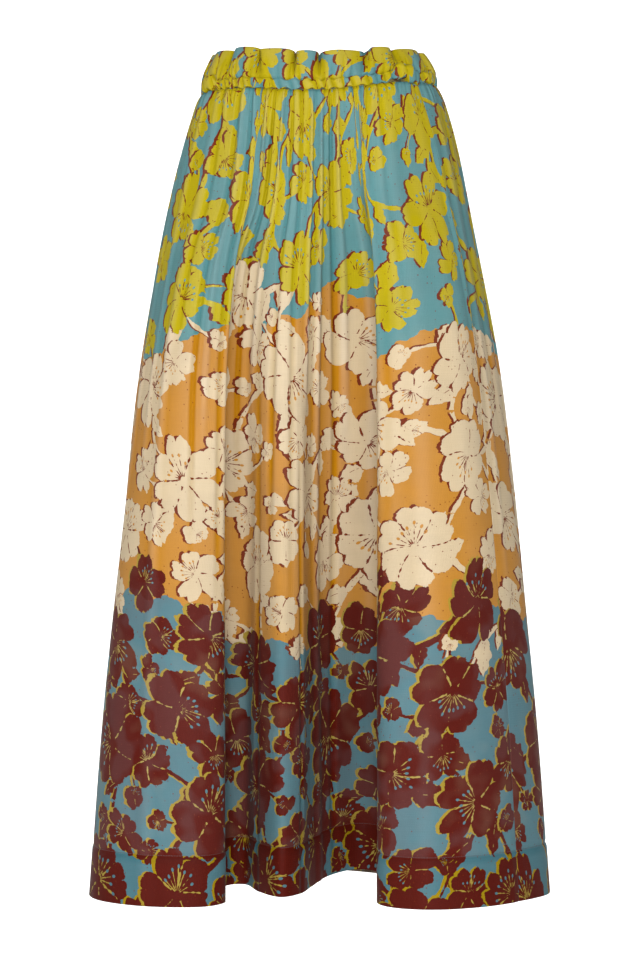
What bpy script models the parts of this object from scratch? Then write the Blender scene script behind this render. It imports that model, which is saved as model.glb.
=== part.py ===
"""Pull-on midi skirt in its worn form: two gathered panels, an elastic casing and a standing frill.

Metres, +Z up. The front faces -Y and the wearer's right side lies towards -X.
The origin is the centre of the waist, at the casing's mean height.
"""
import math
from collections import namedtuple

import bmesh
import bpy
import numpy as np

# Waist and length
WAIST_HALF_WIDTH = 0.1240
WAIST_HALF_DEPTH = 0.0925
WAIST_LEVEL = 0.0065
WAIST_SIDE_TILT = 0.0045
FRONT_DIP = 0.0095
HEM_DROP = 0.839
SEAM_GAP = 0.0003

# Depth of the smooth cone that the folds are laid on, at the hem
HEM_FRONT_DEPTH = 0.118
HEM_BACK_DEPTH = 0.165

# Cloth, drawn thicker than the real voile so that it can carry collision
GATHERED_WALL = 0.0016
SINGLE_WALL = 0.0012
HEM_WALL = 0.0022
HEM_TURN_UP = 0.056
HEM_STEP = 0.002

# Gathers below the casing
FRONT_GATHERS = 26
FRONT_COLUMNS_PER_GATHER = 4
BACK_GATHERS = 31
BACK_COLUMNS_PER_GATHER = 3
GATHER_STEEPNESS = 0.21
GATHER_RISE = 0.018
GATHER_START = 0.45
GATHER_UNEVENNESS = 0.30
GATHER_REACH = 0.17
GATHER_REACH_RANGE = 0.07
GATHER_FADE = 1.3
FLAT_BEND = 0.22

# Casing
CASING_HALF_HEIGHT = 0.0050
CASING_HALF_THICKNESS = 0.0022
CASING_PUCKERS = 34
COLUMNS_PER_PUCKER = 3
PUCKER_DEPTH = 0.0006

# Frill
FRILL_HEIGHT = 0.0295
FRILL_LEVELLING = 0.25
FRILL_WAVES = 20
COLUMNS_PER_WAVE = 6
FRILL_WAVE_DEPTH = 0.0062
FRILL_BASE_DEPTH_SHARE = 0.16
FRILL_EDGE_RIPPLE = 0.0016
FRILL_EDGE_SWAY = 0.0012
FRILL_EDGE_THINNING = 0.55
FRILL_LEAN = 0.012
FRILL_WALL = 0.0018

# How much of its way each part of the cloth has gone at each share of the drop:
# flare at the sides, hang where lobes fall straight from the hip, fold front to back
Growth = namedtuple("Growth", "drop flare hang fold")
GROWTH = [
    Growth(0.00, 0.000, 0.00, 0.00),
    Growth(0.06, 0.155, 0.10, 0.03),
    Growth(0.14, 0.300, 0.28, 0.12),
    Growth(0.20, 0.385, 0.60, 0.19),
    Growth(0.30, 0.497, 0.86, 0.31),
    Growth(0.50, 0.668, 0.99, 0.54),
    Growth(0.75, 0.862, 1.00, 0.79),
    Growth(1.00, 1.000, 1.00, 1.00),
]
STRAIGHT_HANG_WITHIN = 0.105
FULL_FLARE_BEYOND = 0.235

# Where each fold starts on the waist, in degrees round it, and where it lies at the hem
Fold = namedtuple("Fold", "name turn hem_x hem_y lift")
FRONT_FOLDS = [
    Fold("side seam, left of the view", 180, -0.2405, -0.008, 0.000),
    Fold("left side roll", 197, -0.227, -0.055, 0.000),
    Fold("left lobe, outer", 211, -0.190, -0.091, 0.000),
    Fold("left lobe, front", 224, -0.148, -0.105, 0.000),
    Fold("left lobe, inner", 234, -0.114, -0.099, 0.000),
    Fold("left lobe's edge", 239.5, -0.0965, -0.074, 0.001),
    Fold("tucked behind the left lobe", 243, -0.1080, -0.022, 0.003),
    Fold("left valley", 247.5, -0.0960, 0.033, 0.003),
    Fold("rise to the middle ridge", 252, -0.0770, 0.037, 0.003),
    Fold("middle ridge, tucked edge", 255.5, -0.0620, -0.002, 0.001),
    Fold("middle ridge", 260, -0.0400, -0.034, 0.000),
    Fold("middle ridge, right edge", 265, -0.0195, -0.015, 0.001),
    Fold("behind the ridge", 269, -0.0085, 0.024, 0.003),
    Fold("slope to the deep valley", 274, 0.0090, 0.067, 0.008),
    Fold("deep valley", 280, 0.040, 0.098, 0.011),
    Fold("deep valley's turn", 284, 0.066, 0.086, 0.009),
    Fold("tucked behind the right lobe", 287.5, 0.072, 0.010, 0.004),
    Fold("right lobe's edge", 291.5, 0.0600, -0.078, 0.001),
    Fold("right lobe, inner", 297, 0.079, -0.110, 0.000),
    Fold("right lobe, front", 307, 0.120, -0.122, 0.000),
    Fold("right lobe, outer", 316, 0.166, -0.103, 0.000),
]
BACK_FOLDS = [
    Fold("side seam, right of the view", 325, 0.206, -0.064, 0.000),
    Fold("right side roll", 351, 0.239, -0.014, 0.000),
    Fold("right side", 368, 0.239, 0.042, 0.000),
    Fold("back right lobe, outer", 385, 0.214, 0.104, 0.000),
    Fold("back right lobe", 399, 0.172, 0.146, 0.001),
    Fold("back right lobe, inner", 410, 0.132, 0.138, 0.001),
    Fold("back right valley", 419, 0.104, 0.086, 0.004),
    Fold("back middle lobe, outer", 430, 0.068, 0.128, 0.002),
    Fold("back middle lobe", 444, 0.026, 0.170, 0.000),
    Fold("back middle lobe, inner", 455, -0.016, 0.152, 0.001),
    Fold("back left valley", 464, -0.046, 0.094, 0.004),
    Fold("back left lobe, inner", 475, -0.082, 0.122, 0.002),
    Fold("back left lobe", 488, -0.124, 0.158, 0.000),
    Fold("back left lobe, outer", 501, -0.168, 0.144, 0.000),
    Fold("left side valley", 514, -0.207, 0.098, 0.001),
    Fold("left side", 526, -0.236, 0.052, 0.000),
]

# Heights of the panels' rows, in metres below the casing
ROW_DEPTHS = [0.0, 0.008, 0.020, 0.040, 0.075, 0.125, 0.190, 0.275, 0.380, 0.510, 0.650]
THIN_FROM_DEPTH = 0.190

# Puffs where the side seams lift the casing
Puff = namedtuple("Puff", "turn half_turn height thickness")
PUFFS = [
    Puff(203, 14, 0.0030, 0.0024),
    Puff(320, 15, 0.0024, 0.0028),
    Puff(338, 9, 0.0014, 0.0014),
]

# Frill waves that stand further out or higher than the rest, by the wave's number
TALLER_WAVES = {3: 1.25, 7: 0.70, 9: 1.20, 12: 0.75, 15: 1.20, 18: 0.80}

VOILE_TURQUOISE = (0.13, 0.42, 0.47, 1.0)
VOILE_ORANGE = (0.76, 0.37, 0.06, 1.0)
VOILE_CHARTREUSE = (0.60, 0.55, 0.05, 1.0)
VOILE_ROUGHNESS = 0.75

FULL_TURN = 360.0


def clear_scene():
    for item in list(bpy.data.objects):
        bpy.data.objects.remove(item, do_unlink=True)


def cloth_material(name, colour):
    material = bpy.data.materials.new(name)
    material.use_nodes = True
    shader = material.node_tree.nodes["Principled BSDF"]
    shader.inputs["Base Color"].default_value = colour
    shader.inputs["Roughness"].default_value = VOILE_ROUGHNESS
    shader.inputs["Metallic"].default_value = 0.0
    return material


def hermite(knots, values, slopes, at):
    """Cubic through the values at the knots, with the given slopes."""
    span = np.clip(np.searchsorted(knots, at, side="right") - 1, 0, len(knots) - 2)
    width = knots[span + 1] - knots[span]
    t = (at - knots[span]) / width
    start = (1 + 2 * t) * (1 - t) ** 2 * values[span] + t * (1 - t) ** 2 * width * slopes[span]
    end = t * t * (3 - 2 * t) * values[span + 1] - t * t * (1 - t) * width * slopes[span + 1]
    return start + end


def growth_at(drop_share):
    """Flare, hang and fold at a share of the drop, on smooth curves through the table."""
    knots = np.array([row.drop for row in GROWTH])
    shares = []
    for column in ("flare", "hang", "fold"):
        values = np.array([getattr(row, column) for row in GROWTH])
        shares.append(hermite(knots, values, np.gradient(values, knots), drop_share))
    return shares


def waist_height(turn):
    """Height of the casing's centre line: it dips in front and climbs to one side."""
    front = np.maximum(0.0, -np.sin(turn)) ** 6
    return WAIST_LEVEL + WAIST_SIDE_TILT * np.cos(turn) - FRONT_DIP * front


def waist_point(turn, inset=0.0):
    x = (WAIST_HALF_WIDTH - inset) * np.cos(turn)
    y = (WAIST_HALF_DEPTH - inset) * np.sin(turn)
    return x, y


def puff_at(turn, column):
    """Extra size of the casing at a turn, from the puffs beside the seams."""
    extra = np.zeros_like(turn)
    for puff in PUFFS:
        away = (np.degrees(turn) - puff.turn + FULL_TURN / 2) % FULL_TURN - FULL_TURN / 2
        bump = np.clip(1.0 - (away / puff.half_turn) ** 2, 0.0, 1.0)
        extra = extra + getattr(puff, column) * bump ** 2
    return extra


def casing_top(turn):
    """Height of the casing's upper edge: a puff swells upwards only."""
    return waist_height(turn) + CASING_HALF_HEIGHT + 2 * puff_at(turn, "height")


def share_of_run(x, y):
    """How far along an open run of points each one lies, from 0 to 1."""
    run = np.concatenate([[0.0], np.cumsum(np.hypot(np.diff(x), np.diff(y)))])
    return run / run[-1]


class FoldRing:
    """The closed run of folds round the skirt, read at any place along it."""

    SAMPLES_PER_FOLD = 40

    def __init__(self, folds):
        closing = folds[0]._replace(turn=folds[0].turn + FULL_TURN)
        rows = list(folds) + [closing]
        self.table = np.array([[row.turn, row.hem_x, row.hem_y, row.lift] for row in rows])
        steps = np.linalg.norm(np.diff(self.table[:, 1:3], axis=0), axis=1) ** 0.5
        self.knots = np.concatenate([[0.0], np.cumsum(steps)])
        self.slopes = self.find_slopes()

    def find_slopes(self):
        """Central differences, carried round where the ring closes."""
        before = np.vstack([self.table[-2] - [FULL_TURN, 0, 0, 0], self.table[:-1]])
        after = np.vstack([self.table[1:], self.table[1] + [FULL_TURN, 0, 0, 0]])
        period = self.knots[-1]
        knot_before = np.concatenate([[self.knots[-2] - period], self.knots[:-1]])
        knot_after = np.concatenate([self.knots[1:], [self.knots[1] + period]])
        return (after - before) / (knot_after - knot_before)[:, None]

    def read(self, place):
        """Waist turn in radians, hem x, hem y and lift at each place."""
        place = np.asarray(place, dtype=float)
        columns = [hermite(self.knots, self.table[:, k], self.slopes[:, k], place) for k in range(4)]
        columns[0] = np.radians(columns[0])
        return columns

    def spread_columns(self, first_fold, last_fold, count):
        """Places for count + 1 columns, evenly by the mean of waist and hem lengths."""
        start, end = self.knots[first_fold], self.knots[last_fold]
        samples = (last_fold - first_fold) * self.SAMPLES_PER_FOLD
        places = np.linspace(start, end, samples + 1)
        turn, hem_x, hem_y, _ = self.read(places)
        waist_x, waist_y = waist_point(turn)
        share = (share_of_run(waist_x, waist_y) + share_of_run(hem_x, hem_y)) / 2
        return np.interp(np.linspace(0.0, 1.0, count + 1), share, places)

    def at_depth(self, places, depth):
        """Points of the ungathered cloth at a depth below the casing."""
        turn, hem_x, hem_y, lift = self.read(places)
        drop_share = depth / HEM_DROP
        flare, hang, fold = growth_at(drop_share)
        waist_x, waist_y = waist_point(turn)
        side = (np.abs(hem_x) - STRAIGHT_HANG_WITHIN) / (FULL_FLARE_BEYOND - STRAIGHT_HANG_WITHIN)
        side = np.clip(side, 0.0, 1.0)
        sideways = hang + (flare - hang) * side * side * (3 - 2 * side)
        reach = np.where(np.sin(turn) < 0, HEM_FRONT_DEPTH, HEM_BACK_DEPTH)
        cone_y = reach * np.sin(turn)
        x = waist_x + sideways * (hem_x - waist_x)
        y = waist_y + flare * (cone_y - waist_y) + fold * (hem_y - cone_y)
        top = waist_height(turn) - CASING_HALF_HEIGHT - SEAM_GAP
        bottom = -HEM_DROP + lift
        depth_share = depth / (HEM_DROP + WAIST_LEVEL - CASING_HALF_HEIGHT)
        z = top + (bottom - top) * depth_share
        return x, y, z


def outward_normals(x, y):
    """Plan normals and directions along an open run of points, anticlockwise from above."""
    along = np.stack([np.gradient(x), np.gradient(y)], axis=1)
    along /= np.linalg.norm(along, axis=1)[:, None]
    return np.stack([along[:, 1], -along[:, 0]], axis=1), along


def softened(normal):
    """Normals averaged with their neighbours, so that the wall's inside turns gently at a fold."""
    for _ in range(2):
        middle = normal[:-2] + 2 * normal[1:-1] + normal[2:]
        normal = np.vstack([normal[:1], middle, normal[-1:]])
        normal = normal / np.linalg.norm(normal, axis=1)[:, None]
    return normal


def gather_wave(columns, per_gather, depth, spacing):
    """Outward displacement of each column: crowded under the casing, fading unevenly below."""
    wave = np.arange(columns) // per_gather
    phase = 2 * math.pi * np.arange(columns) / per_gather
    strength = 1.0 + GATHER_UNEVENNESS * np.sin(1.9 * wave + 0.6)
    reach = GATHER_REACH + GATHER_REACH_RANGE * np.sin(2.4 * wave + 1.0)
    rise = GATHER_START + (1 - GATHER_START) * min(1.0, depth / GATHER_RISE)
    fade = np.clip(1.0 - depth / reach, 0.0, 1.0) ** GATHER_FADE
    return GATHER_STEEPNESS * per_gather * spacing * strength * rise * fade * np.sin(phase)


def wall_at(depth, full_depth):
    """Thickness of the cloth: doubled in the turned-up hem."""
    if depth > full_depth - HEM_TURN_UP:
        return HEM_WALL
    fade = min(1.0, depth / THIN_FROM_DEPTH)
    return GATHERED_WALL + (SINGLE_WALL - GATHERED_WALL) * fade


def loft_wall(name, outer, inner, closed, material):
    """A closed solid between two sheets of points, rows first, with matching diagonals."""
    mesh = bmesh.new()
    rows, columns = outer.shape[:2]
    outside = [[mesh.verts.new(point) for point in row] for row in outer]
    inside = [[mesh.verts.new(point) for point in row] for row in inner]
    spans = columns if closed else columns - 1

    def patch(a, b, c, d):
        mesh.faces.new((a, b, c))
        mesh.faces.new((a, c, d))

    for j in range(rows - 1):
        for i in range(spans):
            k = (i + 1) % columns
            patch(outside[j][i], outside[j + 1][i], outside[j + 1][k], outside[j][k])
            mesh.faces.new((inside[j][i], inside[j + 1][k], inside[j + 1][i]))
            mesh.faces.new((inside[j][i], inside[j][k], inside[j + 1][k]))
    for i in range(spans):
        k = (i + 1) % columns
        patch(outside[0][i], outside[0][k], inside[0][k], inside[0][i])
        patch(outside[-1][k], outside[-1][i], inside[-1][i], inside[-1][k])
    if not closed:
        for j in range(rows - 1):
            patch(outside[j + 1][0], outside[j][0], inside[j][0], inside[j + 1][0])
            patch(outside[j][-1], outside[j + 1][-1], inside[j + 1][-1], inside[j][-1])
    bmesh.ops.recalc_face_normals(mesh, faces=mesh.faces)
    data = bpy.data.meshes.new(name)
    mesh.to_mesh(data)
    mesh.free()
    data.materials.append(material)
    data.shade_smooth()
    piece = bpy.data.objects.new(name, data)
    bpy.context.scene.collection.objects.link(piece)
    return piece


def make_panel(name, ring, first_fold, last_fold, gathers, per_gather, material):
    """One panel, cut as a trapezoid, gathered into the casing and hung in the ring's folds."""
    count = gathers * per_gather
    places = ring.spread_columns(first_fold, last_fold, count)
    full_depth = HEM_DROP + WAIST_LEVEL - CASING_HALF_HEIGHT
    turn_up = full_depth - HEM_TURN_UP
    depths = ROW_DEPTHS + [turn_up - HEM_STEP, turn_up + HEM_STEP, full_depth]
    outer, inner = [], []
    for depth in depths:
        x, y, z = ring.at_depth(places, depth)
        normal, along = outward_normals(x, y)
        spacing = np.hypot(np.gradient(x), np.gradient(y))
        heading = np.unwrap(np.arctan2(along[:, 1], along[:, 0]))
        bend = np.abs(np.gradient(heading)) / FLAT_BEND
        wave = gather_wave(count + 1, per_gather, depth, spacing) / (1 + bend * bend)
        wave[0] = wave[-1] = 0.0
        skin = np.stack([x, y], axis=1) + normal * wave[:, None]
        skin[0] += along[0] * SEAM_GAP / 2
        skin[-1] -= along[-1] * SEAM_GAP / 2
        lining_side = skin - softened(normal) * wall_at(depth, full_depth)
        outer.append(np.column_stack([skin, z]))
        inner.append(np.column_stack([lining_side, z]))
    return loft_wall(name, np.array(outer), np.array(inner), False, material)


def make_casing(material):
    """The puckered ring of doubled cloth round the elastic, puffed beside the side seams."""
    columns = CASING_PUCKERS * COLUMNS_PER_PUCKER
    turn = np.radians(np.linspace(0.0, FULL_TURN, columns, endpoint=False))
    bottom = waist_height(turn) - CASING_HALF_HEIGHT
    half_height = (casing_top(turn) - bottom) / 2
    half_thickness = CASING_HALF_THICKNESS + puff_at(turn, "thickness")
    pucker = PUCKER_DEPTH * np.sin(CASING_PUCKERS * turn)
    centre_x, centre_y = waist_point(turn, CASING_HALF_THICKNESS)
    normal_x = np.cos(turn) * WAIST_HALF_DEPTH
    normal_y = np.sin(turn) * WAIST_HALF_WIDTH
    size = np.hypot(normal_x, normal_y)
    level = bottom + half_height
    corners = [(-0.55, -1.0), (-1.0, -0.45), (-1.0, 0.45), (-0.55, 1.0)]
    outer, inner = [], []
    for side, sheet in ((1.0, outer), (-1.0, inner)):
        for across, up in corners:
            reach = -across * half_thickness * side + (pucker if abs(across) == 1.0 else 0.0) * side
            x = centre_x + normal_x / size * reach
            y = centre_y + normal_y / size * reach
            sheet.append(np.column_stack([x, y, level + up * half_height]))
    outer.reverse()
    inner.reverse()
    return loft_wall("waist_casing", np.array(outer), np.array(inner), True, material)


def make_frill(material):
    """The doubled frill above the casing, in soft waves that open towards its folded top."""
    columns = FRILL_WAVES * COLUMNS_PER_WAVE
    index = np.arange(columns)
    turn = 2 * math.pi * index / columns
    wave_number = index // COLUMNS_PER_WAVE
    strength = np.array([TALLER_WAVES.get(number, 1.0) for number in wave_number])
    strength = 0.5 * strength + 0.25 * (np.roll(strength, 1) + np.roll(strength, -1))
    wave = strength * np.sin(FRILL_WAVES * turn + 0.5 * np.sin(3 * turn))
    base = casing_top(turn) + SEAM_GAP
    top = waist_height(turn) * (1 - FRILL_LEVELLING) + CASING_HALF_HEIGHT + FRILL_HEIGHT
    normal_x = np.cos(turn) * WAIST_HALF_DEPTH
    normal_y = np.sin(turn) * WAIST_HALF_WIDTH
    size = np.hypot(normal_x, normal_y)
    edge_dip = FRILL_EDGE_RIPPLE * np.sin(2 * FRILL_WAVES * turn + 1.1)
    edge_dip = edge_dip + FRILL_EDGE_SWAY * np.sin(5 * turn)
    outer, inner = [], []
    for share in (1.0, 0.92, 0.45, 0.0):
        spread = FRILL_BASE_DEPTH_SHARE + (1 - FRILL_BASE_DEPTH_SHARE) * share ** 0.8
        lean = FRILL_LEAN * share * share
        middle = wave * FRILL_WAVE_DEPTH * spread - lean
        half_wall = FRILL_WALL / 2 * (FRILL_EDGE_THINNING if share == 1.0 else 1.0)
        height = base + (top - base) * share + edge_dip * share
        for sheet, reach in ((outer, middle + half_wall), (inner, middle - half_wall)):
            x, y = waist_point(turn, CASING_HALF_THICKNESS)
            x = x + normal_x / size * reach
            y = y + normal_y / size * reach
            sheet.append(np.column_stack([x, y, height]))
    return loft_wall("waist_frill", np.array(outer), np.array(inner), True, material)


def main():
    clear_scene()
    turquoise = cloth_material("voile_turquoise", VOILE_TURQUOISE)
    orange = cloth_material("voile_orange", VOILE_ORANGE)
    chartreuse = cloth_material("voile_chartreuse", VOILE_CHARTREUSE)
    ring = FoldRing(FRONT_FOLDS + BACK_FOLDS)
    seam = len(FRONT_FOLDS)
    last = seam + len(BACK_FOLDS)
    make_panel("skirt_front", ring, 0, seam, FRONT_GATHERS, FRONT_COLUMNS_PER_GATHER, orange)
    make_panel("skirt_back", ring, seam, last, BACK_GATHERS, BACK_COLUMNS_PER_GATHER, orange)
    make_casing(turquoise)
    make_frill(chartreuse)


main()
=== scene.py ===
"""Pull-on midi skirt of printed cotton voile, in its worn form.

Metres, +Z up. The front faces -Y, and the wearer's right side lies towards -X.
"""

import math
from collections import namedtuple

import bpy
import numpy as np
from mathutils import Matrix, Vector
from mathutils.kdtree import KDTree


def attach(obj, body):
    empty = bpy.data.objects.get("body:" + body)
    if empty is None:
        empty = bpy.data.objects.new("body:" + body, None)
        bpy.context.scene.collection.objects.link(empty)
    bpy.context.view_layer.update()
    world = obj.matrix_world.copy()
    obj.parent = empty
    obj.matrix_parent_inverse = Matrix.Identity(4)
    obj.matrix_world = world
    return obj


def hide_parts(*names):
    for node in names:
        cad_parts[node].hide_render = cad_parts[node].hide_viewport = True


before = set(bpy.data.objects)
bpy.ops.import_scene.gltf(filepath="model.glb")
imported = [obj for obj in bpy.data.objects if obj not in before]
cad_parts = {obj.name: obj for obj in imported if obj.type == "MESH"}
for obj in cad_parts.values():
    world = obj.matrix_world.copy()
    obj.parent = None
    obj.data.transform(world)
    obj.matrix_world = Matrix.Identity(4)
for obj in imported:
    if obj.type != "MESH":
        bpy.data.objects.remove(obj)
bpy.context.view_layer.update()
bpy.ops.object.select_all(action="DESELECT")
scene = bpy.context.scene


# Camera. It stands three metres in front of the skirt, level with the middle of its length,
# with a long lens.
CAMERA_PLACE = (0.001, -3.0, -0.406)
LONG_SIDE_OF_SENSOR = 36.0
LENS_LENGTH = 107.14

camera_data = bpy.data.cameras.new("camera")
camera_data.sensor_width = LONG_SIDE_OF_SENSOR
camera_data.lens = LENS_LENGTH
camera = bpy.data.objects.new("camera", camera_data)
camera.location = CAMERA_PLACE
camera.rotation_euler = (math.radians(90.0), 0.0, 0.0)
scene.collection.objects.link(camera)
scene.camera = camera
scene.view_settings.view_transform = "Standard"


# Printed voile. The cloth is a fine plain-woven cotton voile, screen printed in three bands of
# flowers: chartreuse on turquoise, cream on orange, and maroon on turquoise. Each flower's ink has
# a darker ink printed a few millimetres beside it.
TURQUOISE = (0.100, 0.234, 0.244)
DEEP_TURQUOISE = (0.088, 0.182, 0.212)
CHARTREUSE = (0.403, 0.322, 0.010)
CREAM = (0.560, 0.446, 0.290)
ORANGE = (0.450, 0.206, 0.036)
MAROON = (0.090, 0.008, 0.004)
RUST = (0.150, 0.024, 0.008)
MUSTARD = (0.330, 0.230, 0.030)
PALE_YELLOW = (0.360, 0.270, 0.070)
# Painted shade of the skirt's inside, seen through the sheer voile
SEEN_THROUGH_SHADE = (0.150, 0.120, 0.125)
FIRST_BORDER = 0.245
SECOND_BORDER = 0.560
HEM_STITCH_DEPTH = 0.7885
SIZE_BY_BAND = (0.93, 1.0, 1.12)
# Name, radii, tries, least gap, share of the radii kept clear of larger flowers, petals, notches
FLOWER_SIZES = [
    ("large", (0.042, 0.055), 6000, -0.004, 0.0, (4, 5, 5, 6), (0.30, 0.52)),
    ("middle", (0.025, 0.035), 5000, 0.000, 0.70, (4, 5, 5), (0.34, 0.55)),
    ("small", (0.012, 0.018), 1200, 0.004, 0.80, (2, 3, 5), (0.25, 0.60))]
LONGEST_STEM = 0.150
LEAF_LENGTHS = (0.024, 0.040)
LEAVES_APART = 0.031
SHADOW_SHIFT = (0.0034, 0.0007)
RAGGED_EDGE = 0.0052
THREADS_PER_METRE = 2600.0

Motif = namedtuple("Motif", "u v size turn squash petals notch kind seed")


def border_shift(u, seed):
    """Height of the slow wave that the borders between the bands follow across the cloth."""
    return 0.026 * math.sin(9.0 * u + seed) + 0.014 * math.sin(23.0 * u + 2.0 * seed)


def ink_of(u, v, seed):
    """0 for chartreuse flowers, 1 for cream, 2 for maroon, by the band that a flower grows in."""
    wave = border_shift(u, seed)
    chance = math.sin(937.0 * u + 411.0 * v)
    if v < FIRST_BORDER + wave - 0.022 + 0.014 * chance:
        return 0
    return 1 if v < SECOND_BORDER - wave + 0.006 + 0.034 * chance else 2


def scatter(random, span, sizes, tries, apart, others, clear):
    """Centres and radii thrown on the cloth, kept where they clear what already lies there."""
    found = np.empty((0, 3))
    for _ in range(tries):
        spot = np.array([random.uniform(*ends) for ends in (*span, sizes)])
        away = np.hypot(found[:, 0] - spot[0], found[:, 1] - spot[1]) - found[:, 2] - spot[2]
        if len(away) and away.min() < apart:
            continue
        if len(others):
            share = np.hypot(others[:, 0] - spot[0], others[:, 1] - spot[1]) / (others[:, 2] + spot[2])
            if share.min() < clear:
                continue
        found = np.vstack([found, spot])
    return found


def flowers_from(random, spots, petals, notches, seed):
    """Flowers on the thrown spots, each turned, squashed and cut in its own way."""
    flowers = []
    for u, v, size in spots:
        ink = ink_of(u, v, seed)
        flowers.append(Motif(
            u, v, size * SIZE_BY_BAND[ink], random.uniform(0.0, 2.0 * math.pi), random.uniform(0.72, 1.0),
            random.choice(petals), random.uniform(*notches), ink, float(random.randint(0, 200))))
    return flowers


def bowed_run(random, start, end, distance, bows, count):
    """A run of points that bows to one side between two places, and its middle control point."""
    (u, v), (a, b) = start, end
    bow = random.uniform(*bows) * random.choice((-1.0, 1.0)) * distance
    middle_u = (u + a) / 2 + bow * (b - v) / distance
    middle_v = (v + b) / 2 - bow * (a - u) / distance
    share = np.linspace(0.0, 1.0, count)
    run_u = (1 - share) ** 2 * u + 2 * share * (1 - share) * middle_u + share ** 2 * a
    run_v = (1 - share) ** 2 * v + 2 * share * (1 - share) * middle_v + share ** 2 * b
    return share, run_u, run_v, (middle_u, middle_v)


def stems_between(random, spots, seed):
    """Curved stems that join each large flower to a neighbour below it, as runs of points."""
    runs = []
    for u, v, _ in spots:
        below = [(math.hypot(a - u, b - v), a, b) for a, b, _ in spots if b > v + 0.02]
        below.sort()
        for distance, a, b in below[:2]:
            if distance > LONGEST_STEM:
                continue
            share, run_u, run_v, middle = bowed_run(random, (u, v), (a, b), distance, (0.18, 0.38), 70)
            sway = 0.004 * np.sin(3 * math.pi * share)
            half = 0.0019 + 0.0012 * np.sin(5.0 * share + distance * 90.0) ** 2
            runs.append((run_u + sway, run_v, half, ink_of(*middle, seed)))
    return runs


def stems_to(random, spots, larger, seed):
    """Short curved stems from the smaller flowers to the nearest large one."""
    runs = []
    for u, v, _ in spots:
        away = np.hypot(larger[:, 0] - u, larger[:, 1] - v)
        nearest = larger[np.argmin(away), :2]
        _, run_u, run_v, _ = bowed_run(random, (u, v), nearest, away.min(), (0.15, 0.45), 40)
        runs.append((run_u, run_v, np.full(40, 0.0016), ink_of(u, v, seed)))
    return runs


def leaves_beside(random, runs):
    """Leaves that grow from the stems: where each starts, which way it points, and its length."""
    leaves = []
    for run_u, run_v, _, ink in runs:
        for place in (18, 34, 52) if len(run_u) > 60 else (20,):
            along = math.atan2(run_v[place + 1] - run_v[place], run_u[place + 1] - run_u[place])
            side = random.choice((-1.0, 1.0))
            heading = along + side * random.uniform(0.5, 1.05)
            length = random.uniform(*LEAF_LENGTHS)
            u = run_u[place] + 0.5 * length * math.cos(heading)
            v = run_v[place] + 0.5 * length * math.sin(heading)
            if all(math.hypot(u - leaf[6], v - leaf[7]) > LEAVES_APART for leaf in leaves):
                leaves.append((run_u[place], run_v[place], heading, length, ink,
                               random.uniform(0.24, 0.34), u, v))
    return leaves


def corner_vectors(mesh, name, first, second, third):
    """Keeps three numbers for each corner of the mesh, for the cloth's material to read."""
    layer = mesh.attributes.new(name, "FLOAT_VECTOR", "CORNER")
    values = np.stack(np.broadcast_arrays(first, second, third), axis=1)
    layer.data.foreach_set("vector", values.astype(np.float32).ravel())


def print_flowers(mesh, name, flowers, u, v):
    """Gives each face the place of its nearest flower, in that flower's own petal coordinates."""
    table = np.array([flower[:9] for flower in flowers])
    centre_u = u.reshape(-1, 4).mean(axis=1)
    centre_v = v.reshape(-1, 4).mean(axis=1)
    nearest = np.empty(len(centre_u), dtype=int)
    for start in range(0, len(centre_u), 8000):
        part = slice(start, start + 8000)
        away = np.hypot(centre_u[part, None] - table[:, 0], centre_v[part, None] - table[:, 1])
        nearest[part] = np.argmin(away - table[:, 2], axis=1)
    motif = table[np.repeat(nearest, 4)]
    cosine, sine = np.cos(motif[:, 3]), np.sin(motif[:, 3])
    size, squash = motif[:, 2], motif[:, 4]

    def local(across, down):
        return ((cosine * across + sine * down) / size,
                (cosine * down - sine * across) / (size * squash))

    place = local(u - motif[:, 0], v - motif[:, 1])
    shift = local(np.full(len(u), SHADOW_SHIFT[0]), np.full(len(u), SHADOW_SHIFT[1]))
    corner_vectors(mesh, name + "_place", place[0], place[1], size)
    corner_vectors(mesh, name + "_shift", shift[0], shift[1], motif[:, 7])
    corner_vectors(mesh, name + "_form", motif[:, 5], motif[:, 6], motif[:, 8])


def print_stems(mesh, runs, u, v):
    """Gives each face its place beside the nearest stem."""
    points = []
    for run_u, run_v, half, ink in runs:
        heading_u, heading_v = np.gradient(run_u), np.gradient(run_v)
        size = np.hypot(heading_u, heading_v)
        points.append(np.column_stack([
            run_u, run_v, heading_u / size, heading_v / size, half, np.full(len(half), ink)]))
    table = np.concatenate(points)
    tree = KDTree(len(table))
    for number, row in enumerate(table):
        tree.insert((row[0], row[1], 0.0), number)
    tree.balance()
    centres = zip(u.reshape(-1, 4).mean(axis=1).tolist(), v.reshape(-1, 4).mean(axis=1).tolist())
    nearest = np.array([tree.find((centre_u, centre_v, 0.0))[1] for centre_u, centre_v in centres])
    point = table[np.repeat(nearest, 4)]
    across, down = u - point[:, 0], v - point[:, 1]
    lateral = across * -point[:, 3] + down * point[:, 2]
    along = across * point[:, 2] + down * point[:, 3]
    shift = SHADOW_SHIFT[0] * -point[:, 3] + SHADOW_SHIFT[1] * point[:, 2]
    corner_vectors(mesh, "stem_place", lateral, along, point[:, 4])
    corner_vectors(mesh, "stem_shift", shift, 0.0, point[:, 5])


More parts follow.
